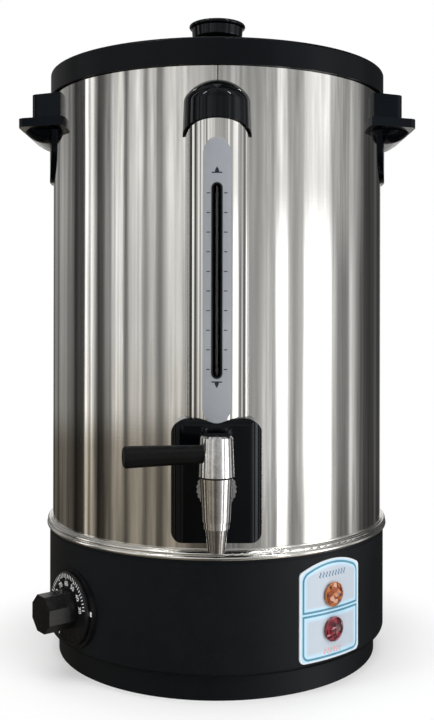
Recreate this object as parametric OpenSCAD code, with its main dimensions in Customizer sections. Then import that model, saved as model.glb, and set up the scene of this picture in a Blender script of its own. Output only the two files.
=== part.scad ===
// Electric hot water urn with a gauge column, a lever tap and a dial thermostat.
// Millimetres. +Z is up, the front faces -Y, the origin is on the drum's axis at table level.

/* [Jacket and tank] */
// Outer diameter of the polished jacket
jacket_d = 280; // [240:1:340]
// Height of the jacket sheet
jacket_h = 365; // [300:1:440]
// Sheet thickness of jacket and tank
sheet_t = 0.8; // [0.6:0.1:1.2]
// Air gap between the jacket and the tank
tank_gap = 4.2; // [3.4:0.1:8]
// Radius between the tank's wall and its floor
floor_corner_r = 10; // [4:1:16]

/* [Base] */
// Height of the black base
base_h = 104; // [90:1:130]
// How far the base stands proud of the jacket
base_proud = 2.4; // [1.5:0.1:4]
// Wall of the moulded base
base_wall = 2.6; // [2:0.1:3.5]
// How far the foot ring is set back from the base wall
ring_setback = 7.8; // [5:0.1:12]
// Height of the foot ring
ring_h = 19.5; // [12:0.5:26]
// Rounding of the base wall's lower edge
base_edge_r = 3; // [2:0.1:4]
// Height of the beaded trim ring above the base
trim_h = 8; // [6.5:0.1:10]
// Height of the rubber feet
foot_h = 6; // [4:0.5:9]
// Thickness of the bottom plate
plate_t = 1.6; // [1:0.1:2.5]

/* [Lid] */
// How far the lid's skirt hangs over the jacket
lid_overlap = 7.7; // [4:0.1:12]
// Height of the lid's skirt
lid_skirt_h = 20; // [16:0.5:30]
// How far the skirt stands proud of the jacket
lid_proud = 2.3; // [2:0.1:4]
// Wall of the moulded lid
lid_wall = 2.2; // [1.6:0.1:3]
// Rise of the lid's dome
lid_rise = 18; // [8:1:30]
// Radius of the dome where it leaves the flat rim
dome_r = 108; // [80:1:112]
// Diameter of the lid knob
knob_d = 48.6; // [40:0.2:60]
// Height of the lid knob
knob_h = 30.5; // [26:0.5:45]

/* [Side handles] */
// Drop from the lid's edge to the handle's top
handle_drop = 2.4; // [0.5:0.1:6]
// Height of the handle's upper block
block_h = 19.9; // [12:0.1:24]
// Thickness of the shelf the fingers lift
shelf_t = 7.2; // [6:0.1:12]
// How far the shelf reaches out from the jacket
shelf_reach = 22.5; // [18:0.5:32]
// How far the block reaches out from the jacket
block_reach = 11.8; // [10.8:0.1:18]
// Half width of the handle where it meets the jacket
handle_half_w = 65; // [60:1:80]
// Thickness of the apron plate
apron_t = 3; // [2:0.1:4]
// Height of the apron plate below the shelf
apron_h = 41.2; // [30:0.2:60]
// Depth of the shelf's rounded underside
bowl_h = 9; // [6:0.5:14]

/* [Gauge column] */
// Radius of the half-round column
column_r = 23; // [20:0.5:28]
// Width of the scale plate
scale_w = 20; // [14:0.5:22]
// Thickness of the scale plate
scale_t = 0.5; // [0.3:0.1:1]
// Width of the sight slot
slot_w = 7.9; // [6:0.1:10]
// Outer radius of the sight glass
glass_r = 5; // [4:0.1:6]
// Gap between the hood's top and the lid's edge
hood_gap = 11.5; // [4:0.5:30]
// Wall of the hood
hood_wall = 1.4; // [1:0.1:1.8]

/* [Tap] */
// Height of the tap's shank above the base
tap_rise = 57; // [48:1:80]
// Gap between the trim ring and the tap housing
housing_gap = 10; // [4:0.5:20]
// Width of the tap housing
housing_w = 65; // [60:1:80]
// Height of the tap housing
housing_h = 87; // [70:1:100]
// Wall of the tap housing
housing_wall = 2.2; // [1.6:0.1:3]
// Distance from the housing's front to the tap's upright axis
tap_reach = 22; // [20:0.5:32]
// Radius of the threaded shank
shank_r = 8; // [6:0.1:9]
// Radius of the tap body at its top
body_top_r = 11.2; // [10.2:0.1:14]
// Radius of the bonnet at its foot
bonnet_r = 12.4; // [11.2:0.1:15]
// Height of the bonnet
bonnet_h = 27.4; // [24:0.1:36]
// Length of the lever outside the bonnet
lever_l = 51.4; // [40:0.2:80]
// Radius of the lever's outer end
lever_tip_r = 7.4; // [6.4:0.1:9]
// Angle of the closed lever, forward of straight left
lever_forward = 16; // [0:1:30]
// Radius of the turning valve plug
plug_r = 7; // [6:0.1:7.6]
// Radial clearance of the turning plug and spindle
running_gap = 0.06; // [0.02:0.01:0.1]
// Radius of the spout's bore
spout_bore_r = 4; // [3:0.1:4.6]

/* [Thermostat and lamps] */
// Angle of the thermostat, left of the front
dial_phi = 52; // [48:0.5:60]
// Height of the thermostat's spindle
dial_z = 53; // [50:1:68]
// Diameter of the dial skirt
dial_d = 55.6; // [46:0.2:58]
// Size of the eight-sided grip across its corners
grip_d = 30; // [24:0.2:34]
// Length of the grip
grip_l = 23; // [14:0.5:28]
// Angle of the indicator plate, right of the front
panel_phi = 37.5; // [34:0.5:44]
// Width of the indicator plate
panel_w = 60.6; // [54:0.2:70]
// Height of the plate's lower edge
panel_z = 24; // [23:0.5:30]
// Height of the plate's straight sides
panel_side_h = 66.5; // [60:0.5:72]
// Rise of the plate's arched top
panel_rise = 8; // [4:0.5:10]
// Diameter of a lamp lens
lamp_d = 18; // [14:0.2:20]
// Height of the red lamp
red_z = 46; // [40:0.5:50]
// Height of the amber lamp
amber_z = 72; // [68:0.5:76]

/* [Heating] */
// Radius of the element's loop
loop_r = 84; // [60:1:92]
// Radius of the element's sheath
sheath_r = 4; // [3:0.1:5]
// Height of the loop above the tank floor
loop_rise = 14; // [12:1:24]

/* [Hidden] */
$fn = 96;
// Smoothness of the drum's own round surfaces
drum_fn = 360;
tiny = 0.01;
// Clearance of parts that sit in or against each other
seat = 0.05;
// Clearance around fixed shanks and barrels in their holes
slip = 0.2;
// Clearance between a lifting or turning part and what it passes
free = 0.3;

jacket_r = jacket_d / 2;
jacket_in_r = jacket_r - sheet_t;
tank_r = jacket_in_r - tank_gap;
tank_in_r = tank_r - sheet_t;
base_r = jacket_r + base_proud;
ring_r = base_r - ring_setback;
ring_in_r = ring_r - base_wall;
ledge_t = 1.2;
trim_top_z = base_h + trim_h;
jacket_z = base_h + ledge_t;
jacket_top_z = jacket_z + jacket_h;
floor_z = base_h + 6;
plate_z = foot_h + plate_t;

// Trim ring: two beads of these radii
bead_low_r = 2;
bead_high_r = 1.5;
bead_reach = jacket_r + 2.7;

// Lid
lid_low_z = jacket_top_z - lid_overlap;
lid_top_z = lid_low_z + lid_skirt_h;
lid_r = jacket_r + lid_proud;
lid_skirt_t = lid_proud - 0.7;
lid_edge_r = 2;
rim_roll_r = (jacket_r - tank_in_r) / 2;
rim_centre_r = jacket_r - rim_roll_r;
rim_top_z = jacket_top_z + rim_roll_r;
dome_sphere_r = (dome_r * dome_r + lid_rise * lid_rise) / (2 * lid_rise);
dome_top_z = lid_top_z + lid_rise;
pad_r = 15;
pad_t = 6;
knob_stem_r = 12;
knob_rim_r = knob_d / 2;
knob_rim_t = 4;
knob_cap_h = 13.5;
knob_taper = 0.7;
lid_screw_r = 2.5;

// Side handles
handle_top_z = lid_low_z - handle_drop;
shelf_z = handle_top_z - block_h - shelf_t;
apron_z = shelf_z - apron_h;
handle_screw_y = 22;
handle_screw_z = shelf_z + shelf_t + block_h / 2;
handle_screw_r = 2;
handle_screw_l = 9;

// Tap and its housing
tap_z = base_h + tap_rise;
housing_z = trim_top_z + housing_gap;
housing_top_z = housing_z + housing_h;
column_y = jacket_r - 0.5;
housing_y = column_y + column_r + scale_t;
tap_y = housing_y + tap_reach;
housing_corner_r = 10.5;
housing_top_r = 12.5;
housing_foot_r = 7.5;
housing_brow_r = 5;
chin_h = 21.8;
chin_slope = 12;

// Gauge column, measured up from the notch in the housing's top
notch_z = housing_top_z - 4.5;
column_z = notch_z + seat;
hood_r = column_r + 1.3;
hood_flare = 1.2;
hood_shoulder_r = 9;
hood_dome_r = hood_r + 3.7;
hood_rise = 26;
hood_top_z = lid_low_z - hood_gap;
hood_z = hood_top_z - hood_rise;
hood_skirt = 14;
hood_cut_slope = 21;
scale_z = column_z + 1.4;
scale_top_z = hood_z - 19.7;
slot_z = scale_z + 30.9;
slot_top_z = scale_top_z - 30.7;
trim_w = 1.2;
trim_lip = 1.5;
glass_t = 1;
tee_r = glass_r + 2;
tee_gap = 0.8;
glass_y = housing_y - housing_wall - tee_gap - tee_r;
tee_top_z = tap_z + 33;
glass_z = tee_top_z - 15;
glass_top_z = hood_z - 2;

// Tap
nut_r = 14;
nut_t = 6;
neck_r = 7.4;
shank_in = 19;
body_l = 29.2;
body_low_r = 9.8;
body_top_z = tap_z + 10.8;
body_z = body_top_z - body_l;
collar_r = 9;
collar_h = 4.8;
spout_z = tap_z - 39.5;
spout_low_r = 5.9;
spout_top_r = 8.1;
seal_h = 1.3;
bonnet_z = body_top_z + seal_h + seat;
bonnet_top_r = bonnet_r - 1;
lever_z = bonnet_z + 15.1;
lever_root_r = 6.4;
body_way_r = 4.6;
stud_r = 2.5;
plug_z = tap_z - 11;
stem_r = 4;
way_r = 3.5;
shank_bore_r = 4;
inner_nut_r = 15;
inner_nut_t = 6;
washer_t = 3;
washer_r = 14;
tee_body_r = 11;

// Thermostat, lamps and inlet
dial_dist = base_r + 1;
skirt_t = 3;
skirt_recess = 1.8;
spindle_r = 3;
bush_r = 5;
bezel_r = dial_d / 2 + 3.2;
bezel_t = 0.5;
dial_nut_r = 7.4;
dial_nut_t = 1.5;
thermo_w = 34;
thermo_h = 38;
thermo_d = 24;
thermo_dist = base_r - base_wall - 1.2;
bulb_r = 3;
capillary_r = 0.9;
spindle_flat = 0.6;
spindle_flat_l = 9;
panel_t = 1;
panel_corner_r = 4;
panel_shoulder_r = 4;
lamp_barrel_r = 6.8;
lamp_flange_t = 1.6;
lamp_dome_h = 4.5;
lamp_dist = base_r + panel_t + 0.35;
lamp_depth = 26;
inlet_z = 56;
inlet_w = 50;
inlet_h = 28;
inlet_t = 2.5;
socket_w = 24;
socket_h = 16.5;
socket_d = 15;
socket_wall = 1.6;
pad_w = inlet_w + 6;
pad_h = inlet_h + 6;
pad_dist = base_r + 0.6;

// Fasteners
boss_ring_r = ring_in_r - 5.5;
boss_r = 6.5;
boss_top_z = 30;
screw_r = 2;
screw_head_r = 4;
screw_head_h = 2.2;
rod_ring_r = 60;
rod_r = 2.5;
nut_flat_r = 4.6;
foot_ring_r = 108;
foot_r = 10;

// Heating element: angle of its legs on each side of the rear, their bend and length
leg_phi = 12;
leg_bend_r = 8;
leg_l = 22;

// ---- shared placing and shapes ----

// Frame on the drum's wall: x to the viewer's right, y up, z outwards. phi is right of the front.
module on_wall(phi, z, dist) {
    rotate([0, 0, phi]) translate([0, -dist, z]) rotate([90, 0, 0]) children();
}

// Round bar along Y at the front, from y = -from to y = -to, with from nearer the drum
module front_bar(r, from, to, z) {
    on_wall(0, z, from) cylinder(r = r, h = to - from);
}

// Upright tube
module pipe(r_out, r_in, z, h) {
    translate([0, 0, z]) difference() {
        cylinder(r = r_out, h = h);
        translate([0, 0, -1]) cylinder(r = r_in, h = h + 2);
    }
}

// Solid drum used to trim what lies against the jacket
module jacket_core(clear) {
    translate([0, 0, -1]) cylinder(r = jacket_r + clear, h = jacket_top_z + 100, $fn = drum_fn);
}

// Straight bar between two points
module bar(p, q, r) {
    d = q - p;
    l = norm(d);
    translate(p) rotate([0, acos(d.z / l), atan2(d.y, d.x)]) cylinder(r = r, h = l, $fn = 32);
}

// Bent wire or capillary: bars with round joints
module bent_bar(points, r) {
    for (i = [1 : len(points) - 1]) bar(points[i - 1], points[i], r);
    for (i = [1 : len(points) - 2]) translate(points[i]) sphere(r = r * 1.3, $fn = 32);
}

// Flat outline with upright sides and round ends
module stadium(w, h) {
    translate([-w / 2, w / 2]) square([w, h - w]);
    for (y = [w / 2, h - w / 2]) translate([0, y]) circle(w / 2);
}

// Rectangle with round corners, lower corners r_low and upper corners r_top
module round_box(w, h, r_low, r_top) {
    translate([-w / 2 + r_low, 0]) square([w - 2 * r_low, r_low]);
    translate([-w / 2, r_low]) square([w, h - r_low - r_top]);
    translate([-w / 2 + r_top, h - r_top]) square([w - 2 * r_top, r_top]);
    for (s = [-1, 1]) {
        translate([s * (w / 2 - r_low), r_low]) circle(r_low);
        translate([s * (w / 2 - r_top), h - r_top]) circle(r_top);
    }
}

// ---- base ----

module base_section() {
    difference() {
        union() {
            translate([base_r - base_wall, ring_h + base_edge_r])
                square([base_wall, base_h - ring_h - base_edge_r]);
            translate([base_r - base_edge_r, ring_h + base_edge_r]) circle(base_edge_r);
            translate([ring_in_r, ring_h]) square([ring_setback + base_wall - base_edge_r, base_wall]);
            translate([ring_in_r, 0]) square([base_wall, ring_h + base_wall]);
            translate([tank_r + 1.5, base_h - base_wall]) square([base_r - tank_r - 1.5, base_wall]);
        }
        translate([base_r - 0.4, base_h - 2.2]) square([1, 0.6]);
    }
}

module boss_places() {
    for (a = [45 : 90 : 315]) rotate([0, 0, a]) translate([boss_ring_r, 0, 0]) children();
}

module base_housing() {
    color("#1b1c1f") difference() {
        union() {
            rotate_extrude($fn = drum_fn) base_section();
            boss_places() translate([0, 0, plate_z + seat]) cylinder(r = boss_r, h = boss_top_z - plate_z);
            intersection() {
                on_wall(180, inlet_z - pad_h / 2, pad_dist - 14)
                    linear_extrude(14) round_box(pad_w, pad_h, 3, 3);
                difference() {
                    cylinder(r = base_r + 8, h = base_h);
                    cylinder(r = base_r - base_wall - 1, h = base_h);
                }
            }
        }
        boss_places() cylinder(r = screw_r + slip, h = boss_top_z - 4);
        on_wall(-dial_phi, dial_z, base_r - 10) cylinder(r = bush_r + slip, h = 20);
        for (z = [red_z, amber_z])
            on_wall(panel_phi, z, base_r - 10) cylinder(r = lamp_barrel_r + slip, h = 20);
        on_wall(180, inlet_z, pad_dist - 30) translate([-socket_w / 2 - socket_wall - slip,
            -socket_h / 2 - socket_wall - slip, 0])
            cube([socket_w + 2 * (socket_wall + slip), socket_h + 2 * (socket_wall + slip), 40]);
        for (s = [-1, 1]) on_wall(180, inlet_z, pad_dist - 12) translate([s * 20.5, 0, 0])
            cylinder(r = 1.5 + seat, h = 20);
    }
}

module bottom_plate() {
    color("#3a3b3e") difference() {
        translate([0, 0, foot_h]) cylinder(r = ring_in_r - slip, h = plate_t);
        boss_places() cylinder(r = screw_r + slip, h = plate_z + 1);
        rod_places() cylinder(r = rod_r + slip, h = plate_z + 1);
        for (a = [0 : 30 : 330]) rotate([0, 0, a]) translate([82, 0, 0]) {
            translate([-9, -2, 0]) cube([18, 4, plate_z + 1]);
            for (x = [-9, 9]) translate([x, 0, 0]) cylinder(r = 2, h = plate_z + 1);
        }
    }
}

module foot_places() {
    for (a = [0 : 90 : 270]) rotate([0, 0, a]) translate([foot_ring_r, 0, 0]) children();
}

module rubber_feet() {
    color("#222222") foot_places() cylinder(r1 = foot_r - 1.5, r2 = foot_r, h = foot_h);
}

module bottom_screws() {
    color("silver") boss_places() {
        translate([0, 0, foot_h - screw_head_h]) cylinder(r = screw_head_r, h = screw_head_h);
        translate([0, 0, foot_h - tiny]) cylinder(r = screw_r, h = 18);
    }
}

module rod_places() {
    for (a = [30, 150, 270]) rotate([0, 0, a]) translate([rod_ring_r, 0, 0]) children();
}

module tie_rods() {
    color("silver") rod_places() translate([0, 0, 1.5]) cylinder(r = rod_r, h = floor_z - sheet_t - 1.5);
}

module tie_rod_nuts() {
    color("silver") rod_places() translate([0, 0, foot_h - 4]) difference() {
        cylinder(r = nut_flat_r, h = 4, $fn = 6);
        translate([0, 0, -1]) cylinder(r = rod_r + seat, h = 6, $fn = 48);
    }
}

// ---- jacket and tank ----

module trim_ring() {
    color("#d8d6d0") rotate_extrude($fn = drum_fn) {
        translate([bead_reach, base_h + bead_low_r]) circle(bead_low_r);
        translate([bead_reach - 0.1, base_h + 2 * bead_low_r + bead_high_r - 0.4]) circle(bead_high_r);
        translate([jacket_r + seat, base_h]) square([bead_reach - jacket_r - seat, 2 * bead_low_r + 2]);
        translate([jacket_r + seat, base_h]) square([0.8, trim_h]);
        translate([tank_r + 1.5, base_h]) square([bead_reach - tank_r - 1.5, ledge_t]);
    }
}

module handle_screw_places() {
    for (side = [-90, 90]) for (s = [-1, 1]) {
        phi = side + s * asin(handle_screw_y / jacket_r);
        on_wall(phi, handle_screw_z, jacket_in_r) children();
    }
}

module outer_jacket() {
    color("#c9c8c4") difference() {
        pipe(jacket_r, jacket_in_r, jacket_z, jacket_h, $fn = drum_fn);
        front_bar(shank_r + slip, jacket_r - 20, jacket_r + 20, tap_z);
        handle_screw_places() translate([0, 0, -2]) cylinder(r = handle_screw_r + slip, h = 6);
    }
}

// Cup section: wall radius r, floor at z, corner radius c, mouth at top
module cup(r, z, c, top) {
    translate([0, z]) square([r - c, c + 1]);
    translate([r - c, z + c]) circle(c);
    translate([0, z + c]) square([r, top - z - c]);
}

module inner_tank() {
    color("#bdbcb8") difference() {
        rotate_extrude($fn = drum_fn) {
            difference() {
                cup(tank_r, floor_z - sheet_t, floor_corner_r, jacket_top_z);
                cup(tank_in_r, floor_z, floor_corner_r - sheet_t, jacket_top_z + 1);
            }
            // rolled rim over the jacket's upper edge
            translate([rim_centre_r, jacket_top_z]) difference() {
                circle(rim_roll_r);
                circle(rim_roll_r - sheet_t);
                translate([-rim_roll_r - 1, -rim_roll_r - 1]) square([2 * rim_roll_r + 2, rim_roll_r + 1]);
            }
        }
        front_bar(shank_r + slip, jacket_r - 20, jacket_r + 20, tap_z);
        leg_places() translate([0, 0, floor_z - 10]) cylinder(r = sheath_r + slip, h = 20);
    }
}

// ---- side handles, drawn on the right and mirrored for the left ----

// Outline of a handle layer from above: half width w at the jacket, reach out from it
module handle_plan(w, half_flat, reach, corner) {
    hull() {
        for (s = [-1, 1]) {
            translate([jacket_r + reach - corner, s * half_flat]) circle(corner, $fn = 48);
            translate([sqrt(jacket_r * jacket_r - w * w) - 3, s * (w - 3)]) circle(3, $fn = 24);
        }
    }
}

module apron_outline() {
    top_w = 47;
    foot_w = 42;
    foot_r = 26;
    h = apron_h + shelf_t + block_h;
    translate([-foot_w + foot_r, 0]) square([2 * (foot_w - foot_r), foot_r + 1]);
    for (s = [-1, 1]) translate([s * (foot_w - foot_r), foot_r]) circle(foot_r);
    polygon([[-foot_w, foot_r], [foot_w, foot_r], [top_w, h], [-top_w, h]]);
}

module handle() {
    bowl_reach = shelf_reach - apron_t - 1;
    bowl_r = (bowl_reach * bowl_reach + bowl_h * bowl_h) / (2 * bowl_h);
    bowl_flat = 24;
    color("#17181b") difference() {
        union() {
            // apron plate against the jacket
            intersection() {
                pipe(jacket_r + apron_t + seat, jacket_r - 5, apron_z, handle_top_z - apron_z, $fn = drum_fn);
                on_wall(90, apron_z, 0) linear_extrude(jacket_r + 20) apron_outline();
            }
            // block, shelf and rounded underside
            translate([0, 0, shelf_z + shelf_t - tiny]) linear_extrude(block_h + tiny)
                handle_plan(handle_half_w - 4, 44, block_reach, 7);
            translate([0, 0, shelf_z]) linear_extrude(shelf_t) handle_plan(handle_half_w, 46, shelf_reach, 8);
            intersection() {
                translate([jacket_r + apron_t, 0, shelf_z - bowl_h + bowl_r]) {
                    rotate([90, 0, 0]) cylinder(r = bowl_r, h = 2 * bowl_flat, center = true);
                    for (s = [-1, 1]) translate([0, s * bowl_flat, 0]) sphere(r = bowl_r);
                }
                translate([0, -100, shelf_z - 2 * bowl_h]) cube([jacket_r + 100, 200, 2 * bowl_h + tiny]);
            }
        }
        jacket_core(seat);
        handle_screw_places() translate([0, 0, -1])
            cylinder(r = handle_screw_r + seat, h = handle_screw_l + 1.5);
    }
}

module handle_right() {
    handle();
}

module handle_left() {
    mirror([1, 0, 0]) handle();
}

module handle_screws() {
    color("silver") handle_screw_places() {
        translate([0, 0, -2.5]) cylinder(r = 4, h = 2.4);
        translate([0, 0, -0.2]) cylinder(r = handle_screw_r, h = handle_screw_l);
    }
}

// ---- gauge column ----

module slot_cut(clear) {
    on_wall(0, slot_z - clear, column_y) linear_extrude(60)
        stadium(slot_w + 2 * clear, slot_top_z - slot_z + 2 * clear);
}

module gauge_column() {
    color("#d4d3cf") difference() {
        translate([0, -column_y, column_z]) cylinder(r = column_r, h = hood_z - column_z);
        translate([0, -column_y, column_z - 1]) cylinder(r = column_r - sheet_t, h = hood_z - column_z + 2);
        jacket_core(seat);
        slot_cut(0);
    }
}

// Room for the scale's lower end in the tap housing
module scale_cut() {
    on_wall(0, scale_z - free, column_y + 1) linear_extrude(60)
        stadium(scale_w + 2 * free, scale_w + housing_h);
}

module gauge_scale() {
    color("#989ca6") difference() {
        intersection() {
            translate([0, -column_y, scale_z]) cylinder(r = column_r + scale_t, h = scale_top_z - scale_z);
            on_wall(0, scale_z, column_y) linear_extrude(60) stadium(scale_w, scale_top_z - scale_z);
        }
        translate([0, -column_y, 0]) cylinder(r = column_r, h = scale_top_z + 10);
        slot_cut(0);
    }
}

// Black edging pressed into the slot: rim in the slot, lip behind the column's sheet
module gauge_slot_trim() {
    back_r = column_r - sheet_t - seat;
    color("#101010") difference() {
        union() {
            intersection() {
                translate([0, -column_y, slot_z - 5])
                    pipe(column_r + scale_t + 0.3, back_r - 0.8, 0, slot_top_z - slot_z + 10);
                slot_cut(-seat);
            }
            intersection() {
                translate([0, -column_y, slot_z - 5]) pipe(back_r, back_r - 0.8, 0, slot_top_z - slot_z + 10);
                slot_cut(trim_lip);
            }
        }
        slot_cut(-trim_w);
    }
}

module gauge_glass() {
    color("#cfd8dc") translate([0, -glass_y, 0])
        pipe(glass_r, glass_r - glass_t, glass_z, glass_top_z - glass_z);
}

module gauge_lower_seal() {
    color("#303030") translate([0, -glass_y, 0])
        pipe(tee_r - 1 - seat, glass_r + seat, glass_z + 2, tee_top_z - glass_z - 2);
}

module gauge_vent_plug() {
    color("#303030") translate([0, -glass_y, 0]) difference() {
        union() {
            translate([0, 0, glass_top_z - 8]) cylinder(r = glass_r - glass_t - seat, h = 8);
            translate([0, 0, glass_top_z + tiny]) cylinder(r = glass_r + 1.5, h = 3);
            translate([0, 0, glass_top_z - tiny]) cylinder(r = glass_r - glass_t - seat, h = 1);
        }
        translate([0, 0, glass_top_z - 9]) cylinder(r = 1, h = 20);
    }
}

// Height at which a circle r, centred at distance x from the axis, touches circle R from inside,
// above the centre of R
function touch_rise(R, r, x) = sqrt((R - r) * (R - r) - x * x);

// Half section of the hood: flared wall, round shoulder, low dome; offset inwards by inset
module hood_section(inset) {
    x = hood_r - hood_shoulder_r;
    dome_z = hood_top_z - hood_dome_r;
    rise = touch_rise(hood_dome_r, hood_shoulder_r, x);
    low_z = hood_z - 2 * hood_skirt - inset;
    low_r = hood_r + hood_flare;
    polygon([[0, low_z], [low_r - inset, low_z], [hood_r - inset, dome_z + rise], [0, dome_z + rise]]);
    // a hair smaller than the dome allows, so that the two arcs cross instead of touching
    translate([x, dome_z + rise]) circle(hood_shoulder_r - inset - 2 * tiny);
    intersection() {
        translate([0, dome_z]) circle(hood_dome_r - inset, $fn = 180);
        translate([0, dome_z]) polygon([[0, 0], [3 * x, 3 * rise], [0, 3 * hood_dome_r]]);
    }
}

module gauge_hood() {
    color("#17181b") difference() {
        translate([0, -column_y, 0]) rotate_extrude() hood_section(0);
        translate([0, -column_y, 0]) rotate_extrude() hood_section(hood_wall);
        jacket_core(seat);
        // underside cut, higher at the front than at the jacket
        translate([-50, -jacket_r, hood_z - hood_skirt]) rotate([-hood_cut_slope, 0, 0])
            translate([0, -60, -60]) cube([100, 120, 60]);
    }
}

module gauge_tee() {
    color("#b9b8b4") difference() {
        union() {
            front_bar(tee_body_r, jacket_r + washer_t, housing_y - housing_wall - seat, tap_z);
            translate([0, -glass_y, tap_z]) cylinder(r = tee_r, h = tee_top_z - tap_z);
        }
        front_bar(shank_r + seat, jacket_r - 5, housing_y + 5, tap_z);
        translate([0, -glass_y, tap_z]) cylinder(r = glass_r - glass_t, h = tee_top_z);
        translate([0, -glass_y, glass_z]) cylinder(r = tee_r - 1, h = 60);
    }
}

// ---- tap ----

// Housing outline from above, offset inwards by inset
module housing_plan(inset) {
    w = housing_w / 2 - inset;
    front = -housing_y + inset;
    c = housing_corner_r - inset;
    translate([-w, front + c]) square([2 * w, 60]);
    translate([-w + c, front]) square([2 * (w - c), 60]);
    for (s = [-1, 1]) translate([s * (w - c), front + c]) circle(c);
}

// Housing body, offset inwards by inset
module housing_block(inset) {
    brow = housing_brow_r - inset;
    brow_z = housing_top_z - housing_brow_r;
    difference() {
        intersection() {
            translate([0, 0, housing_z + inset]) linear_extrude(housing_h - 2 * inset) housing_plan(inset);
            on_wall(0, housing_z + inset, 0) linear_extrude(housing_y + 20)
                round_box(housing_w - 2 * inset, housing_h - 2 * inset,
                    housing_foot_r - inset, housing_top_r - inset);
        }
        // brow: rounded front edge of the top
        difference() {
            translate([-housing_w, inset - housing_y - 1, brow_z]) cube([2 * housing_w, brow + 1, brow + 1]);
            translate([-housing_w - 1, inset - housing_y + brow, brow_z]) rotate([0, 90, 0])
                cylinder(r = brow, h = 2 * housing_w + 2);
        }
        // chin: the lowest part slopes back to the jacket
        translate([0, -housing_y + inset, housing_z + chin_h]) rotate([-chin_slope, 0, 0])
            translate([-housing_w, -40, -60]) cube([2 * housing_w, 40, 60]);
    }
}

module tap_housing() {
    color("#141518") difference() {
        housing_block(0);
        housing_block(housing_wall);
        jacket_core(seat);
        // seat for the column's foot and the scale's end, and the way down for the sight glass
        scale_cut();
        translate([0, -column_y, notch_z]) cylinder(r = column_r + slip, h = 20);
        translate([0, -glass_y, notch_z - 10]) cylinder(r = tee_r + 1, h = 30);
        front_bar(shank_r + slip, jacket_r, housing_y + 10, tap_z);
    }
}

module tap_knurled_nut() {
    knurls = 24;
    color("#c8c8c8") difference() {
        front_bar(nut_r, housing_y + seat, housing_y + nut_t, tap_z);
        for (i = [0 : knurls - 1]) on_wall(0, tap_z, housing_y - 1) rotate(i * 360 / knurls)
            translate([nut_r + 0.5, 0, 0]) cylinder(r = 1.2, h = nut_t + 3, $fn = 16);
        front_bar(shank_r + seat, housing_y - 1, housing_y + 20, tap_z);
    }
}

module tap_body() {
    color("#cfcfcf") difference() {
        union() {
            translate([0, -tap_y, body_z]) cylinder(r1 = body_low_r, r2 = body_top_r, h = body_l);
            front_bar(shank_r, jacket_r - shank_in, housing_y + nut_t + 1, tap_z);
            // shoulder against the knurled nut, then the neck
            front_bar(neck_r + 2.6, housing_y + nut_t + seat, housing_y + nut_t + 3, tap_z);
            front_bar(neck_r, housing_y + nut_t, tap_y - 5, tap_z);
        }
        // plug seat, outlet and inlet ways
        translate([0, -tap_y, plug_z - running_gap]) cylinder(r = plug_r + running_gap, h = 40);
        translate([0, -tap_y, body_z - 1]) cylinder(r = body_way_r, h = 20);
        front_bar(shank_bore_r, jacket_r - 30, tap_y, tap_z);
        // feed up into the gauge tee
        translate([0, -glass_y, tap_z]) cylinder(r = 3, h = 20);
    }
}

module tap_collar() {
    color("#dddddd") translate([0, -tap_y, 0])
        pipe(collar_r, spout_bore_r + 2, body_z - collar_h, collar_h - seat);
}

module tap_spout() {
    color("#cfcfcf") translate([0, -tap_y, 0]) difference() {
        union() {
            translate([0, 0, spout_z])
                cylinder(r1 = spout_low_r, r2 = spout_top_r, h = body_z - collar_h - spout_z - seat);
            translate([0, 0, spout_z + 1])
                cylinder(r = spout_bore_r + 2 - seat, h = body_z - spout_z - 1 - seat);
        }
        translate([0, 0, spout_z - 1]) cylinder(r = spout_bore_r, h = 60);
    }
}

module tap_seal() {
    color("#101010") translate([0, -tap_y, 0]) pipe(body_top_r - 0.8, plug_r + 0.5, body_top_z, seal_h);
}

module tap_outer_washer() {
    color("#3a3a3a") difference() {
        front_bar(washer_r - 2, jacket_r - 3, jacket_r + washer_t - seat, tap_z);
        jacket_core(seat);
        front_bar(shank_r + seat, jacket_r - 20, jacket_r + 20, tap_z);
    }
}

module tap_inner_washer() {
    color("#3a3a3a") difference() {
        intersection() {
            front_bar(washer_r, tank_in_r - washer_t - 1, tank_in_r + 2, tap_z);
            cylinder(r = tank_in_r - seat, h = jacket_top_z, $fn = drum_fn);
        }
        front_bar(shank_r + seat, jacket_r - 30, jacket_r + 20, tap_z);
    }
}

module tap_inner_nut() {
    from = tank_in_r - washer_t - 1 - seat - inner_nut_t;
    color("#c8c8c8") difference() {
        on_wall(0, tap_z, from) cylinder(r = inner_nut_r, h = inner_nut_t, $fn = 6);
        front_bar(shank_r + seat, from - 5, jacket_r, tap_z);
    }
}

module lever_frame() {
    translate([0, -tap_y, lever_z]) rotate([0, 0, 180 + lever_forward]) rotate([0, 90, 0]) children();
}

module tap_bonnet() {
    chamfer = 1.2;
    color("#d2d2d2") difference() {
        translate([0, -tap_y, bonnet_z]) {
            cylinder(r1 = bonnet_r, r2 = bonnet_top_r, h = bonnet_h - chamfer);
            translate([0, 0, bonnet_h - chamfer])
                cylinder(r1 = bonnet_top_r, r2 = bonnet_top_r - chamfer, h = chamfer);
        }
        translate([0, -tap_y, bonnet_z - 1]) cylinder(r = stem_r + seat, h = 13);
        lever_frame() cylinder(r = stud_r + seat, h = 30);
        lever_frame() translate([0, 0, bonnet_r - 3]) cylinder(r = lever_root_r + seat, h = 30);
    }
}

module tap_lever() {
    start = bonnet_r - 3 + seat;
    end_round = 1.2;
    color("#131313") difference() {
        lever_frame() {
            translate([0, 0, start])
                cylinder(r1 = lever_root_r - 0.2, r2 = lever_tip_r, h = lever_l + 3 - end_round);
            translate([0, 0, start + lever_l + 3 - end_round])
                cylinder(r1 = lever_tip_r, r2 = lever_tip_r - end_round, h = end_round);
        }
        lever_frame() cylinder(r = stud_r + seat, h = bonnet_r + 31);
    }
}

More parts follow.
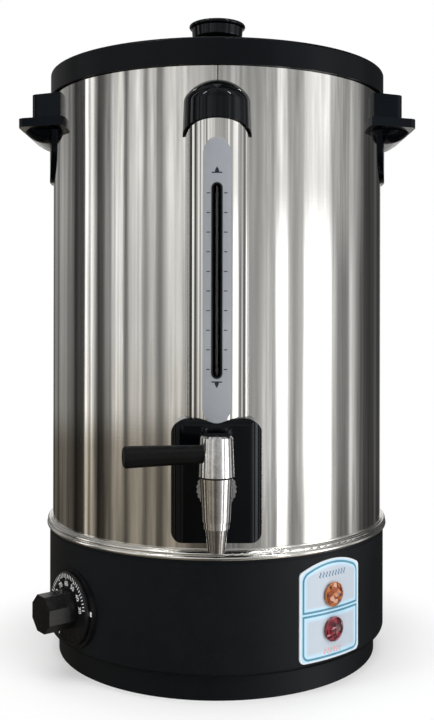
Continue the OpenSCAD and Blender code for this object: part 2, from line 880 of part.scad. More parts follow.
module tap_lever_stud() {
    color("#a8a8a8") lever_frame() translate([0, 0, 5]) cylinder(r = stud_r, h = bonnet_r + 25);
}

module tap_plug() {
    top = bonnet_z + 11;
    color("#b8a060") difference() {
        translate([0, -tap_y, 0]) {
            translate([0, 0, plug_z]) cylinder(r = plug_r, h = body_top_z - plug_z);
            translate([0, 0, plug_z + 1]) cylinder(r = stem_r, h = top - plug_z - 1);
        }
        translate([0, -tap_y, plug_z - 1]) cylinder(r = way_r, h = tap_z - plug_z + 1);
        // side port: meets the inlet after the lever's quarter turn
        translate([0, -tap_y, tap_z]) rotate([0, 90, 0]) cylinder(r = way_r, h = 20);
        translate([0, -tap_y, tap_z]) sphere(r = way_r);
    }
}

// ---- heating ----

// The two ends of the loop, each with its own local frame: y runs on along the loop
module leg_ends() {
    for (s = [-1, 1]) rotate([0, 0, 90 + s * leg_phi]) translate([loop_r, 0, floor_z + loop_rise])
        mirror([0, s > 0 ? 1 : 0, 0]) children();
}

// Places of the upright legs, on the floor
module leg_places() {
    for (s = [-1, 1]) rotate([0, 0, 90 + s * leg_phi]) translate([loop_r, -s * leg_bend_r, 0]) children();
}

module heating_element() {
    color("#8d8f92") {
        rotate([0, 0, 90 + leg_phi]) translate([0, 0, floor_z + loop_rise])
            rotate_extrude(angle = 360 - 2 * leg_phi) translate([loop_r, 0]) circle(sheath_r, $fn = 48);
        leg_ends() {
            translate([0, 0, -leg_bend_r]) rotate([90, 0, 90])
                rotate_extrude(angle = 90) translate([leg_bend_r, 0]) circle(sheath_r, $fn = 48);
            translate([0, leg_bend_r, -leg_bend_r - leg_l]) cylinder(r = sheath_r, h = leg_l);
            translate([0, leg_bend_r, -leg_bend_r - leg_l - 8]) cylinder(r = 1.2, h = 9, $fn = 24);
        }
    }
}

module element_seals() {
    color("#8c2f22") leg_places() pipe(7.5, sheath_r + seat, floor_z + seat, 1.5);
}

module element_nuts() {
    h = 5;
    color("#c7a545") leg_places() translate([0, 0, floor_z - sheet_t - h - seat]) difference() {
        cylinder(r = 8, h = h, $fn = 6);
        translate([0, 0, -1]) cylinder(r = sheath_r + seat, h = h + 2);
    }
}

module dry_boil_cutout() {
    top = floor_z - sheet_t - seat;
    color("#7d6f56") {
        translate([0, 0, top - 2]) cylinder(r = 11, h = 2);
        translate([0, 0, top - 11]) cylinder(r = 8, h = 9.5);
        for (s = [-1, 1]) translate([s * 5 - 3, -0.4, top - 18]) cube([6, 0.8, 8]);
    }
}

// ---- thermostat ----

module thermostat_body() {
    color("#c9c3b4") difference() {
        union() {
            on_wall(-dial_phi, dial_z - thermo_h / 2, thermo_dist - thermo_d)
                linear_extrude(thermo_d) round_box(thermo_w, thermo_h, 2, 2);
            on_wall(-dial_phi, dial_z, thermo_dist - 1)
                cylinder(r = bush_r, h = base_r + dial_nut_t - thermo_dist + 1);
        }
        on_wall(-dial_phi, dial_z, thermo_dist - thermo_d + 6) cylinder(r = spindle_r + running_gap, h = 60);
    }
}

module thermostat_nut() {
    color("#c7a545") on_wall(-dial_phi, dial_z, base_r + seat) difference() {
        cylinder(r = dial_nut_r, h = dial_nut_t, $fn = 6);
        translate([0, 0, -1]) cylinder(r = bush_r + seat, h = 10);
    }
}

module thermostat_bezel() {
    color("#202124") rotate([0, 0, -dial_phi]) difference() {
        on_wall(0, dial_z, base_r - 5) cylinder(r = bezel_r, h = 5 + bezel_t);
        cylinder(r = base_r + seat, h = base_h, $fn = drum_fn);
        on_wall(0, dial_z, base_r - 10) cylinder(r = dial_nut_r + 1.6, h = 30);
    }
}

module thermostat_spindle() {
    from = thermo_dist - thermo_d + 6 + running_gap;
    to = dial_dist + skirt_t + spindle_flat_l;
    color("#b5b5b5") on_wall(-dial_phi, dial_z, from) difference() {
        cylinder(r = spindle_r, h = to - from);
        translate([-spindle_r, spindle_r - spindle_flat, to - from - spindle_flat_l])
            cube([2 * spindle_r, spindle_r, spindle_flat_l + 1]);
    }
}

module thermostat_knob() {
    edge = 1.2;
    bore_l = skirt_t + spindle_flat_l + 2 * seat;
    color("#17181b") on_wall(-dial_phi, dial_z, dial_dist) difference() {
        union() {
            cylinder(r = dial_d / 2, h = skirt_t - edge);
            translate([0, 0, skirt_t - edge]) cylinder(r1 = dial_d / 2, r2 = dial_d / 2 - edge, h = edge);
            translate([0, 0, skirt_t - tiny]) rotate(22.5) cylinder(r = grip_d / 2, h = grip_l, $fn = 8);
        }
        // bore with the flat that keys it to the spindle
        difference() {
            translate([0, 0, -1]) cylinder(r = spindle_r + seat, h = bore_l + 1);
            translate([-spindle_r - 1, spindle_r - spindle_flat + seat, skirt_t + seat])
                cube([2 * spindle_r + 2, spindle_r, spindle_flat_l + 1]);
        }
        translate([0, 0, -1]) cylinder(r = dial_nut_r + 1.6, h = 1 + skirt_recess);
    }
}

module thermostat_bulb() {
    bulb_z = floor_z - sheet_t - bulb_r - seat;
    exit_dist = thermo_dist - thermo_d - capillary_r;
    exit = [-exit_dist * sin(dial_phi), -exit_dist * cos(dial_phi), dial_z + 8];
    bulb_a = [-62, -34, bulb_z];
    bulb_b = [14, -34, bulb_z];
    color("#b87333") {
        bar(bulb_a, bulb_b, bulb_r);
        bent_bar([bulb_a, [-80, -40, bulb_z - 4], [exit.x + 8, exit.y + 5, dial_z + 26], exit], capillary_r);
    }
}

// ---- indicator plate and lamps ----

// Plate seen from the front, its lower edge on y = 0: round lower corners and an arched top
module panel_outline() {
    arch_r = (panel_w * panel_w / 4 + panel_rise * panel_rise) / (2 * panel_rise);
    arch_z = panel_side_h + panel_rise - arch_r;
    x = panel_w / 2 - panel_shoulder_r;
    rise = touch_rise(arch_r, panel_shoulder_r, x);
    round_box(panel_w, 3 * panel_corner_r, panel_corner_r, tiny);
    translate([-panel_w / 2, 2 * panel_corner_r]) square([panel_w, arch_z + rise - 2 * panel_corner_r]);
    for (s = [-1, 1]) translate([s * x, arch_z + rise]) circle(panel_shoulder_r);
    intersection() {
        translate([0, arch_z]) circle(arch_r, $fn = drum_fn);
        translate([0, arch_z]) polygon([[0, 0], [2 * x, 2 * rise], [-2 * x, 2 * rise]]);
    }
}

module indicator_plate() {
    color("#dfe6ea") rotate([0, 0, panel_phi]) difference() {
        intersection() {
            translate([0, 0, panel_z - 1])
                cylinder(r = base_r + panel_t, h = panel_side_h + panel_rise + 2, $fn = drum_fn);
            on_wall(0, panel_z, base_r / 2) linear_extrude(base_r) panel_outline();
        }
        cylinder(r = base_r + seat, h = base_h, $fn = drum_fn);
        for (z = [red_z, amber_z])
            on_wall(0, z, base_r - 10) cylinder(r = lamp_barrel_r + slip, h = 20);
    }
}

module lamp(z) {
    dome_r = (lamp_d * lamp_d / 4 + lamp_dome_h * lamp_dome_h) / (2 * lamp_dome_h);
    on_wall(panel_phi, z, lamp_dist) {
        cylinder(r = lamp_d / 2, h = lamp_flange_t);
        intersection() {
            translate([0, 0, lamp_flange_t + lamp_dome_h - dome_r]) sphere(r = dome_r);
            translate([0, 0, lamp_flange_t - tiny]) cylinder(r = lamp_d / 2, h = lamp_dome_h + 1);
        }
    }
}

module lamp_amber() {
    color("#e07a1f") lamp(amber_z);
}

module lamp_red() {
    color("#c0242b") lamp(red_z);
}

module lamp_holders() {
    color("#2b2b2b") for (z = [red_z, amber_z]) on_wall(panel_phi, z, lamp_dist - lamp_depth) {
        cylinder(r = lamp_barrel_r, h = lamp_depth - seat);
        translate([0, 0, lamp_depth - 12]) cylinder(r = 9.5, h = 4.5);
        for (s = [-1, 1]) translate([s * 3 - 0.4, -2, -6]) cube([0.8, 4, 7]);
    }
}

// ---- supply ----

module terminal_block() {
    ways = 3;
    pitch = 12;
    color("#e8e4d8") translate([-ways * pitch / 2, 70, plate_z + seat]) difference() {
        cube([ways * pitch, 20, 15]);
        for (i = [0 : ways - 1]) translate([(i + 0.5) * pitch, -1, 8]) rotate([-90, 0, 0])
            cylinder(r = 2.6, h = 30, $fn = 32);
        for (i = [0 : ways - 1]) for (y = [5, 15]) translate([(i + 0.5) * pitch, y, 10])
            cylinder(r = 2.2, h = 10, $fn = 32);
    }
}

module power_inlet() {
    color("#1d1d1f") on_wall(180, inlet_z, pad_dist) difference() {
        union() {
            translate([0, -inlet_h / 2, seat]) linear_extrude(inlet_t) round_box(inlet_w, inlet_h, 4, 4);
            translate([-socket_w / 2 - socket_wall, -socket_h / 2 - socket_wall, -socket_d - 2])
                cube([socket_w + 2 * socket_wall, socket_h + 2 * socket_wall, socket_d + 2 + 2 * seat]);
        }
        translate([-socket_w / 2, -socket_h / 2, -socket_d]) cube([socket_w, socket_h, 40]);
        for (s = [-1, 1]) translate([s * 20.5, 0, -10]) cylinder(r = 1.5 + slip, h = 30);
        for (p = pin_places()) translate([p.x - 1 - seat, p.y - 2 - seat, -socket_d - 10])
            cube([2 + 2 * seat, 4 + 2 * seat, 20]);
    }
}

function pin_places() = [[-7, -2], [0, 2], [7, -2]];

module inlet_pins() {
    color("silver") on_wall(180, inlet_z, pad_dist) for (p = pin_places())
        translate([p.x - 1, p.y - 2, -socket_d - 9]) cube([2, 4, socket_d + 6]);
}

module inlet_screws() {
    color("silver") on_wall(180, inlet_z, pad_dist) for (s = [-1, 1]) translate([s * 20.5, 0, 0]) {
        translate([0, 0, inlet_t + 2 * seat]) cylinder(r1 = 3, r2 = 2.2, h = 1.6);
        translate([0, 0, -8]) cylinder(r = 1.5, h = 8 + inlet_t + 3 * seat);
    }
}

// ---- lid ----

module lid_section() {
    deck_z = lid_top_z - lid_wall;
    // skirt with a rounded upper edge
    translate([lid_r - lid_skirt_t, lid_low_z]) square([lid_skirt_t, lid_skirt_h - lid_edge_r]);
    translate([lid_r - lid_edge_r, lid_top_z - lid_edge_r]) circle(lid_edge_r);
    // flat rim
    translate([dome_r - 2, deck_z]) square([lid_r - lid_edge_r - dome_r + 2, lid_wall]);
    // rib that rests on the tank's rim, and the ring that centres the lid in the tank
    translate([rim_centre_r - 1.2, rim_top_z + free]) square([2.4, deck_z - rim_top_z]);
    translate([tank_in_r - 0.8 - lid_wall, lid_low_z + 3]) square([lid_wall, deck_z - lid_low_z - 2]);
    // dome and the pad under the knob
    intersection() {
        translate([0, dome_top_z - dome_sphere_r]) difference() {
            circle(dome_sphere_r, $fn = 360);
            circle(dome_sphere_r - lid_wall, $fn = 360);
        }
        translate([0, deck_z - 1]) square([dome_r, lid_rise + 10]);
    }
    translate([0, dome_top_z - pad_t]) square([pad_r, pad_t]);
}

module lid() {
    vents = 5;
    color("#1a1b1d") difference() {
        rotate_extrude($fn = drum_fn) lid_section();
        translate([0, 0, dome_top_z - 20]) cylinder(r = lid_screw_r + slip, h = 40);
        for (i = [0 : vents - 1])
            rotate([0, 0, 90 + (i - (vents - 1) / 2) * 9]) translate([70, 0, lid_top_z - 5])
            cylinder(r = 2, h = 40);
    }
}

module knob_section() {
    top_z = dome_top_z + knob_h;
    rim_z = top_z - knob_rim_t / 2;
    side_r = knob_rim_r - knob_rim_t / 2;
    cap_z = top_z - knob_cap_h;
    edge = 2.6;
    low_r = side_r - knob_taper;
    difference() {
        union() {
            // foot and stem
            translate([0, dome_top_z]) square([knob_stem_r + 3, 2.5]);
            translate([0, dome_top_z]) square([knob_stem_r, knob_h - knob_cap_h + 1]);
            // cap with a tapered side, a round lower edge and a beaded rim
            polygon([[0, cap_z], [low_r - edge, cap_z], [low_r, cap_z + edge], [side_r, rim_z], [0, rim_z]]);
            translate([low_r - edge, cap_z + edge]) circle(edge);
            translate([side_r, rim_z]) circle(knob_rim_t / 2);
            translate([0, rim_z]) square([side_r, top_z - rim_z]);
        }
        // shallow dish in the top
        translate([0, top_z + 78.8]) circle(80, $fn = 360);
        translate([-100, 0]) square([100, top_z + 100]);
    }
}

module lid_knob() {
    color("#15161a") difference() {
        rotate_extrude() knob_section();
        translate([0, 0, dome_top_z - 1]) cylinder(r = lid_screw_r + seat, h = 22);
    }
}

module lid_knob_screw() {
    head_z = dome_top_z - pad_t - 1.2 - 2 * seat;
    color("silver") {
        translate([0, 0, head_z - 3]) cylinder(r = 4.5, h = 3);
        translate([0, 0, head_z - tiny]) cylinder(r = lid_screw_r, h = 24);
    }
}

module lid_knob_washer() {
    color("#3a3a3a") pipe(8, lid_screw_r + seat, dome_top_z - pad_t - 1.2 - seat, 1.2);
}

base_housing();
bottom_plate();
rubber_feet();
bottom_screws();
tie_rods();
tie_rod_nuts();
trim_ring();
outer_jacket();
inner_tank();
handle_left();
handle_right();
handle_screws();
gauge_column();
gauge_scale();
gauge_slot_trim();
gauge_glass();
gauge_lower_seal();
gauge_vent_plug();
gauge_hood();
gauge_tee();
tap_housing();
tap_knurled_nut();
tap_body();
tap_collar();
tap_spout();
tap_seal();
tap_outer_washer();
tap_inner_washer();
tap_inner_nut();
tap_bonnet();
tap_lever();
tap_lever_stud();
tap_plug();
heating_element();
element_seals();
element_nuts();
dry_boil_cutout();
thermostat_body();
thermostat_bulb();
thermostat_nut();
thermostat_bezel();
thermostat_spindle();
thermostat_knob();
indicator_plate();
lamp_amber();
lamp_red();
lamp_holders();
terminal_block();
power_inlet();
inlet_pins();
inlet_screws();
lid();
lid_knob();
lid_knob_screw();
lid_knob_washer();
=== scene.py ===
import math

import bpy
from mathutils import Matrix


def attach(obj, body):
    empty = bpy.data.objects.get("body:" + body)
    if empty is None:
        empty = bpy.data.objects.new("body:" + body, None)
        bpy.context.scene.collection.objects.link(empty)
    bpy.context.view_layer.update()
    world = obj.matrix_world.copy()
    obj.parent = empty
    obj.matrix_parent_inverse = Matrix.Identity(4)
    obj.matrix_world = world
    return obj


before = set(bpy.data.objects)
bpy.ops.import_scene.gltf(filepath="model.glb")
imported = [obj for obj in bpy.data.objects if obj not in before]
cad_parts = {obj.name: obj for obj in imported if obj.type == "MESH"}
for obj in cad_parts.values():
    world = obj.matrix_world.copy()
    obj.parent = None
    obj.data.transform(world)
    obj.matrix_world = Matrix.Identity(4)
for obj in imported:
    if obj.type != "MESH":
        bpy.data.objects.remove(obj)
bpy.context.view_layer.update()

# ---- Viewpoint ----
# The urn was photographed level, 0.84 m in front of the drum's axis and 0.29 m above the table,
# with the lens pointed a little above the middle of the picture.
bpy.ops.object.select_all(action="DESELECT")
bpy.ops.object.camera_add(location=(0, -0.836, 0.2901), rotation=(math.radians(90), -0.0017, 0))
camera = bpy.context.object
camera.data.sensor_width = 36
camera.data.lens = 48.12
camera.data.shift_y = -0.0794
camera.data.shift_x = 0.0002
camera.data.clip_start = 0.05
bpy.context.scene.camera = camera

# ---- Studio ----
# A pale table under soft light, fading into a white backdrop. Tall soft boxes, dark flags and a window
# wall stand round the urn, out of the picture, and give the polished drum its upright bands.
bpy.context.scene.view_settings.view_transform = "Standard"

bpy.ops.object.select_all(action="DESELECT")
bpy.ops.mesh.primitive_plane_add(size=9, location=(0, 0, 0))
table = bpy.context.object
table.name = "table"

table_paint = bpy.data.materials.new("pale table")
table_paint.use_nodes = True
table_nodes, table_links = table_paint.node_tree.nodes, table_paint.node_tree.links
table_shader = table_nodes["Principled BSDF"]
table_shader.inputs["Base Color"].default_value = (0.92, 0.92, 0.925, 1)
table_shader.inputs["Roughness"].default_value = 0.7
table_shader.inputs["Specular IOR Level"].default_value = 0.1
table.data.materials.append(table_paint)


def calculated(tree, operation, *values):
    """A sum in a node tree: each value is a socket, or a number."""
    node = tree.nodes.new("ShaderNodeMath")
    node.operation = operation
    for socket, value in zip(node.inputs, values):
        if isinstance(value, (int, float)):
            socket.default_value = value
        else:
            tree.links.new(value, socket)
    return node.outputs[0]


def ranged(tree, value, low, high, to_low=0, to_high=1, smooth=False):
    """Stretches what lies from low to high over to_low to to_high."""
    node = tree.nodes.new("ShaderNodeMapRange")
    if smooth:
        node.interpolation_type = "SMOOTHSTEP"
    for label, number in (("From Min", low), ("From Max", high), ("To Min", to_low), ("To Max", to_high)):
        node.inputs[label].default_value = number
    tree.links.new(value, node.inputs["Value"])
    return node.outputs[0]


def mixed(tree, mask, first, second, data_type="RGBA"):
    """Goes from the first colour or number to the second as the mask goes from 0 to 1."""
    node = tree.nodes.new("ShaderNodeMix")
    node.data_type = data_type
    tree.links.new(mask, node.inputs["Factor"])
    for label, value in (("A", first), ("B", second)):
        if isinstance(value, tuple):
            node.inputs[label].default_value = value
        else:
            tree.links.new(value, node.inputs[label])
    return node.outputs["Result"]


# past the urn's shadow the table runs into the backdrop with no horizon
shadow_end, backdrop_start = 0.138, 0.24
table_place = table_nodes.new("ShaderNodeTexCoord")
table_reach = table_nodes.new("ShaderNodeVectorMath")
table_reach.operation = "LENGTH"
table_links.new(table_place.outputs["Object"], table_reach.inputs[0])
table_fade = ranged(table_paint.node_tree, table_reach.outputs["Value"], shadow_end, backdrop_start, 0.4, smooth=True)
table_path = table_nodes.new("ShaderNodeLightPath")
fade_seen = calculated(table_paint.node_tree, "MULTIPLY", table_fade, table_path.outputs["Is Camera Ray"])
table_white = table_nodes.new("ShaderNodeEmission")
table_faded = table_nodes.new("ShaderNodeMixShader")
table_links.new(fade_seen, table_faded.inputs["Fac"])
table_links.new(table_shader.outputs[0], table_faded.inputs[1])
table_links.new(table_white.outputs[0], table_faded.inputs[2])
# mirrors look through the table to the room, so the drum's bands run on to its foot
see_through = table_nodes.new("ShaderNodeBsdfTransparent")
table_mix = table_nodes.new("ShaderNodeMixShader")
table_links.new(table_path.outputs["Is Glossy Ray"], table_mix.inputs["Fac"])
table_links.new(table_faded.outputs[0], table_mix.inputs[1])
table_links.new(see_through.outputs[0], table_mix.inputs[2])
table_links.new(table_mix.outputs[0], table_nodes["Material Output"].inputs["Surface"])

world = bpy.data.worlds.new("studio")
bpy.context.scene.world = world
world.use_nodes = True
room_tree = world.node_tree
sky, sky_links = room_tree.nodes, room_tree.links
sky.clear()
direction = sky.new("ShaderNodeTexCoord")
split = sky.new("ShaderNodeSeparateXYZ")
sky_links.new(direction.outputs["Generated"], split.inputs[0])
height = split.outputs["Z"]
around = calculated(room_tree, "ARCTAN2", split.outputs["X"], calculated(room_tree, "MULTIPLY", split.outputs["Y"], -1))


def ramp(name, place, stops):
    """A colour ramp in the room: stops are (place on the ramp, colour)."""
    node = sky.new("ShaderNodeValToRGB")
    node.label = name
    node.color_ramp.interpolation = "EASE"
    while len(node.color_ramp.elements) < len(stops):
        node.color_ramp.elements.new(0.5)
    for element, (position, color) in zip(node.color_ramp.elements, stops):
        element.position = position
        element.color = (*color, 1)
    sky_links.new(place, node.inputs["Fac"])
    return node.outputs["Color"]


def side_of_room(name, first, boxes, tint):
    """One half of the room's wall: (degrees round from the camera, how bright it is there)."""
    turn = ranged(room_tree, around, math.radians(first), math.radians(first + 180))
    return ramp(name, turn, [((degrees - first) / 180, [light * part for part in tint]) for degrees, light in boxes])


# lamps and dark cloth on the left, windows and a dark doorway on the right: these levels were tuned
# against the photograph's brightness across the drum, as report.md says under Open failures
left_wall = side_of_room("left", -180, [
    (-180, 0.8), (-166, 0.7), (-159, 0.08), (-150, 0.3), (-142, 0.15), (-135, 0.35), (-126, 0.35), (-122, 0.2),
    (-117, 0.22), (-112, 0.03), (-107, 0.07), (-101.5, 0.08), (-99, 2.0), (-96, 0.4), (-93, 1.4), (-90, 0.4),
    (-87, 0.06), (-83, 0.09), (-79, 0.3), (-76, 0.3), (-73, 0.75), (-67, 0.9), (-63, 0.14), (-59, 0.75), (-53, 0.9),
    (-48, 0.28), (-44, 0.85), (-38, 0.22), (-31, 0.85), (0, 0.45),
], (1, 0.985, 0.955))
right_wall = side_of_room("right", 0, [
    (0, 0.45), (16, 0.5), (27, 0.4), (32, 0.75), (38.5, 0.5), (42, 3.0), (45, 2.8), (49.5, 0.55), (53, 0.35),
    (56, 0.6), (59, 0.65), (61.5, 2.6), (70, 3.0), (80, 2.8), (84, 0.9), (90, 0.3), (96, 0.22), (100, 0.3),
    (103, 1.1), (107, 0.5), (111, 0.3), (115, 0.14), (122, 0.07), (130, 0.05), (137, 0.06), (142, 0.12),
    (148, 0.05), (158, 0.06), (166, 0.7), (180, 0.8),
], (1, 0.998, 0.99))
right_side = calculated(room_tree, "GREATER_THAN", around, 0)
bands = mixed(room_tree, right_side, left_wall, right_wall)
# a pale blind hangs over the top of the window wall
blind = ranged(room_tree, height, 0.01, 0.13, 0, 0.72, smooth=True)
blind_width = ranged(room_tree, around, math.radians(122), math.radians(106), smooth=True)
blind_right = calculated(room_tree, "MULTIPLY", right_side, blind_width)
blinded = mixed(room_tree, calculated(room_tree, "MULTIPLY", blind, blind_right), bands, (0.5, 0.5, 0.49, 1))
# folds in the cloth break the bands into fine upright streaks
drape = sky.new("ShaderNodeMapping")
drape.inputs["Scale"].default_value = (38, 38, 1.2)
sky_links.new(direction.outputs["Generated"], drape.inputs["Vector"])
folds = sky.new("ShaderNodeTexNoise")
folds.inputs["Scale"].default_value = 1.0
folds.inputs["Detail"].default_value = 5
folds.inputs["Roughness"].default_value = 0.6
sky_links.new(drape.outputs[0], folds.inputs["Vector"])
fold_light = ranged(room_tree, folds.outputs["Fac"], 0.3, 0.7, 0.5, 1.5)
draped = sky.new("ShaderNodeVectorMath")
draped.operation = "SCALE"
sky_links.new(blinded, draped.inputs[0])
sky_links.new(fold_light, draped.inputs["Scale"])
# below the table's edge the left of the room is a dim warm floor; the window wall reaches down further
rise = ranged(room_tree, height, -0.5, 0.5)


def floor_to_ceiling(name, stops):
    """How bright and warm one side is from 30 degrees below the eye to 30 above."""
    return ramp(name, rise, [(slope + 0.5, color) for slope, color in stops])


left_height = floor_to_ceiling("left", [
    (-0.5, (0.2, 0.18, 0.15)), (-0.21, (0.4, 0.36, 0.3)), (-0.15, (0.45, 0.41, 0.35)), (-0.1, (0.9, 0.88, 0.85)),
    (-0.02, (1, 1, 1)), (0.1, (1.15, 1.15, 1.15)), (0.5, (0.8, 0.8, 0.8))])
right_height = floor_to_ceiling("right", [
    (-0.5, (0.3, 0.28, 0.25)), (-0.24, (0.75, 0.74, 0.72)), (-0.15, (1, 0.99, 0.98)), (0.2, (1, 1, 1)),
    (0.5, (0.6, 0.6, 0.6))])
heights = mixed(room_tree, right_side, left_height, right_height)
room = sky.new("ShaderNodeVectorMath")
room.operation = "MULTIPLY"
sky_links.new(draped.outputs[0], room.inputs[0])
sky_links.new(heights, room.inputs[1])
# a dark cloth lies on the floor in front, so the flat faces below the eye stay black
ahead = calculated(room_tree, "ABSOLUTE", around)
cloth_side = ranged(room_tree, ahead, math.radians(14), math.radians(26), smooth=True)
cloth_height = ranged(room_tree, height, -0.12, -0.04, smooth=True)
cloth_light = ranged(room_tree, calculated(room_tree, "MAXIMUM", cloth_side, cloth_height), 0, 1, 0.55)
room_light = sky.new("ShaderNodeBackground")
sky_links.new(room.outputs[0], room_light.inputs["Color"])
sky_links.new(cloth_light, room_light.inputs["Strength"])
backdrop = sky.new("ShaderNodeBackground")
backdrop.inputs["Color"].default_value = (1, 1, 1, 1)
seen = sky.new("ShaderNodeLightPath")
view_mix = sky.new("ShaderNodeMixShader")
sky_links.new(seen.outputs["Is Camera Ray"], view_mix.inputs["Fac"])
sky_links.new(room_light.outputs[0], view_mix.inputs[1])
sky_links.new(backdrop.outputs[0], view_mix.inputs[2])
world_out = sky.new("ShaderNodeOutputWorld")
sky_links.new(view_mix.outputs[0], world_out.inputs["Surface"])


def soft_box(name, place, aim, width, length, power, mirrored=False):
    """A soft light on a stand: unless mirrored, it stays out of the reflections."""
    bpy.ops.object.light_add(type="AREA", location=place)
    box = bpy.context.object
    box.name = name
    box.data.shape = "RECTANGLE"
    box.data.size = width
    box.data.size_y = length
    box.data.energy = power
    box.visible_camera = False
    box.visible_glossy = mirrored
    reach = [a - p for a, p in zip(aim, place)]
    flat = math.hypot(reach[0], reach[1])
    box.rotation_euler = (math.atan2(flat, -reach[2]), 0, math.atan2(-reach[0], reach[1]))


soft_box("top_box", (0, -0.3, 2.3), (0, 0, 0.3), 1.8, 1.8, 30)
soft_box("left_box", (-1.7, -1.2, 1.3), (0, 0, 0.3), 0.5, 1.4, 10)
soft_box("right_box", (1.6, -1.3, 1.2), (0, 0, 0.3), 0.6, 1.5, 18)
# two ceiling tubes put small glints on whatever is glossy and curves upward
soft_box("left_tube", (-0.9, -0.75, 1.7), (0, 0, 0.4), 0.06, 0.6, 3, mirrored=True)
soft_box("right_tube", (0.9, -0.75, 1.7), (0, 0, 0.4), 0.06, 0.6, 3, mirrored=True)

# ---- Base housing ----
# The foot of the urn is one moulded shell of black plastic with a fine grain. It hides the wiring
# and stands on its own set-back ring.
def finish(name):
    """A new material and its shader."""
    material = bpy.data.materials.new(name)
    material.use_nodes = True
    return material, material.node_tree.nodes["Principled BSDF"]


def paint(material, *nodes):
    """Gives CAD nodes a finish."""
    for node in nodes:
        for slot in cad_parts[node].material_slots:
            slot.material = material


def add_group(material, group, **values):
    """Places a group in a material and sets its own values."""
    placed = material.node_tree.nodes.new("ShaderNodeGroup")
    placed.node_tree = group
    for key, value in values.items():
        placed.inputs[key].default_value = value
    return placed


def bumped(material, shader, height, depth):
    """Feeds a height to the shader's normal, depth in metres."""
    bump = material.node_tree.nodes.new("ShaderNodeBump")
    bump.inputs["Strength"].default_value = 1.0
    bump.inputs["Distance"].default_value = depth
    material.node_tree.links.new(height, bump.inputs["Height"])
    material.node_tree.links.new(bump.outputs["Normal"], shader.inputs["Normal"])


def new_group(name, values, results):
    """An empty node group: values are (name, default), results are (name, socket type)."""
    group = bpy.data.node_groups.new(name, "ShaderNodeTree")
    for label, default in values:
        socket = group.interface.new_socket(
            label, in_out="INPUT", socket_type="NodeSocketColor" if len(default) == 4 else "NodeSocketFloat")
        socket.default_value = default if len(default) == 4 else default[0]
    for label, kind in results:
        group.interface.new_socket(label, in_out="OUTPUT", socket_type=kind)
    return group, group.nodes.new("NodeGroupInput"), group.nodes.new("NodeGroupOutput")


# moulded plastic: spark-eroded grain, slow changes of tone and a little dust lying on what faces up
moulded, moulded_in, moulded_out = new_group(
    "moulded plastic",
    [("Plastic", (0.01, 0.01, 0.012, 1)), ("Worn", (0.03, 0.03, 0.033, 1)), ("Grain Size", (0.0009,)),
     ("Smooth", (0.3,)), ("Rough", (0.5,)), ("Dust", (0.1,))],
    [("Color", "NodeSocketColor"), ("Roughness", "NodeSocketFloat"), ("Height", "NodeSocketFloat")])


def object_noise(tree, place, scale, detail, roughness=0.5):
    """Plain noise laid over a piece; scale is a number or a socket."""
    node = tree.nodes.new("ShaderNodeTexNoise")
    node.inputs["Detail"].default_value = detail
    node.inputs["Roughness"].default_value = roughness
    if isinstance(scale, (int, float)):
        node.inputs["Scale"].default_value = scale
    else:
        tree.links.new(scale, node.inputs["Scale"])
    tree.links.new(place, node.inputs["Vector"])
    return node.outputs["Fac"]


place = moulded.nodes.new("ShaderNodeTexCoord").outputs["Object"]
grain = moulded.nodes.new("ShaderNodeTexVoronoi")
grain.feature = "SMOOTH_F1"
moulded.links.new(place, grain.inputs["Vector"])
moulded.links.new(calculated(moulded, "DIVIDE", 1, moulded_in.outputs["Grain Size"]), grain.inputs["Scale"])
moulded.links.new(grain.outputs["Distance"], moulded_out.inputs["Height"])
tone_mask = ranged(moulded, object_noise(moulded, place, 16, 6, 0.65), 0.42, 0.72)
rough = mixed(moulded, tone_mask, moulded_in.outputs["Smooth"], moulded_in.outputs["Rough"], "FLOAT")
moulded.links.new(rough, moulded_out.inputs["Roughness"])
worn = mixed(moulded, tone_mask, moulded_in.outputs["Plastic"], moulded_in.outputs["Worn"])
facing = moulded.nodes.new("ShaderNodeNewGeometry")
facing_up = moulded.nodes.new("ShaderNodeSeparateXYZ")
moulded.links.new(facing.outputs["Normal"], facing_up.inputs[0])
speck_mask = ranged(moulded, object_noise(moulded, place, 420, 3), 0.52, 0.7)
dust_mask = calculated(moulded, "MULTIPLY", speck_mask, ranged(moulded, facing_up.outputs["Z"], -0.4, 1))
dust_amount = calculated(moulded, "MULTIPLY", dust_mask, moulded_in.outputs["Dust"])
moulded.links.new(mixed(moulded, dust_amount, worn, (0.22, 0.22, 0.22, 1)), moulded_out.inputs["Color"])


def wired(material, shader, look, depth):
    """Feeds a group's colour, roughness and height to the shader."""
    material.node_tree.links.new(look.outputs["Color"], shader.inputs["Base Color"])
    material.node_tree.links.new(look.outputs["Roughness"], shader.inputs["Roughness"])
    bumped(material, shader, look.outputs["Height"], depth)


def plastic(name, color, worn_color, smooth, rough, grain_size, grain_depth, dust, specular=0.5, warm=1.0):
    """A moulded plastic finish; warm below 1 cools what it reflects."""
    material, shader = finish(name)
    look = add_group(material, moulded, **{
        "Plastic": (*color, 1), "Worn": (*worn_color, 1), "Grain Size": grain_size,
        "Smooth": smooth, "Rough": rough, "Dust": dust})
    wired(material, shader, look, grain_depth)
    shader.inputs["Specular IOR Level"].default_value = specular
    shader.inputs["Specular Tint"].default_value = (warm, (1 + warm) / 2, 1, 1)
    return material


base_black = plastic("black base plastic", (0.0026, 0.0030, 0.0040), (0.0044, 0.0050, 0.0066),
                     0.42, 0.54, 0.0008, 0.00004, 0.02, specular=0.26, warm=0.8)
paint(base_black, "base_housing")

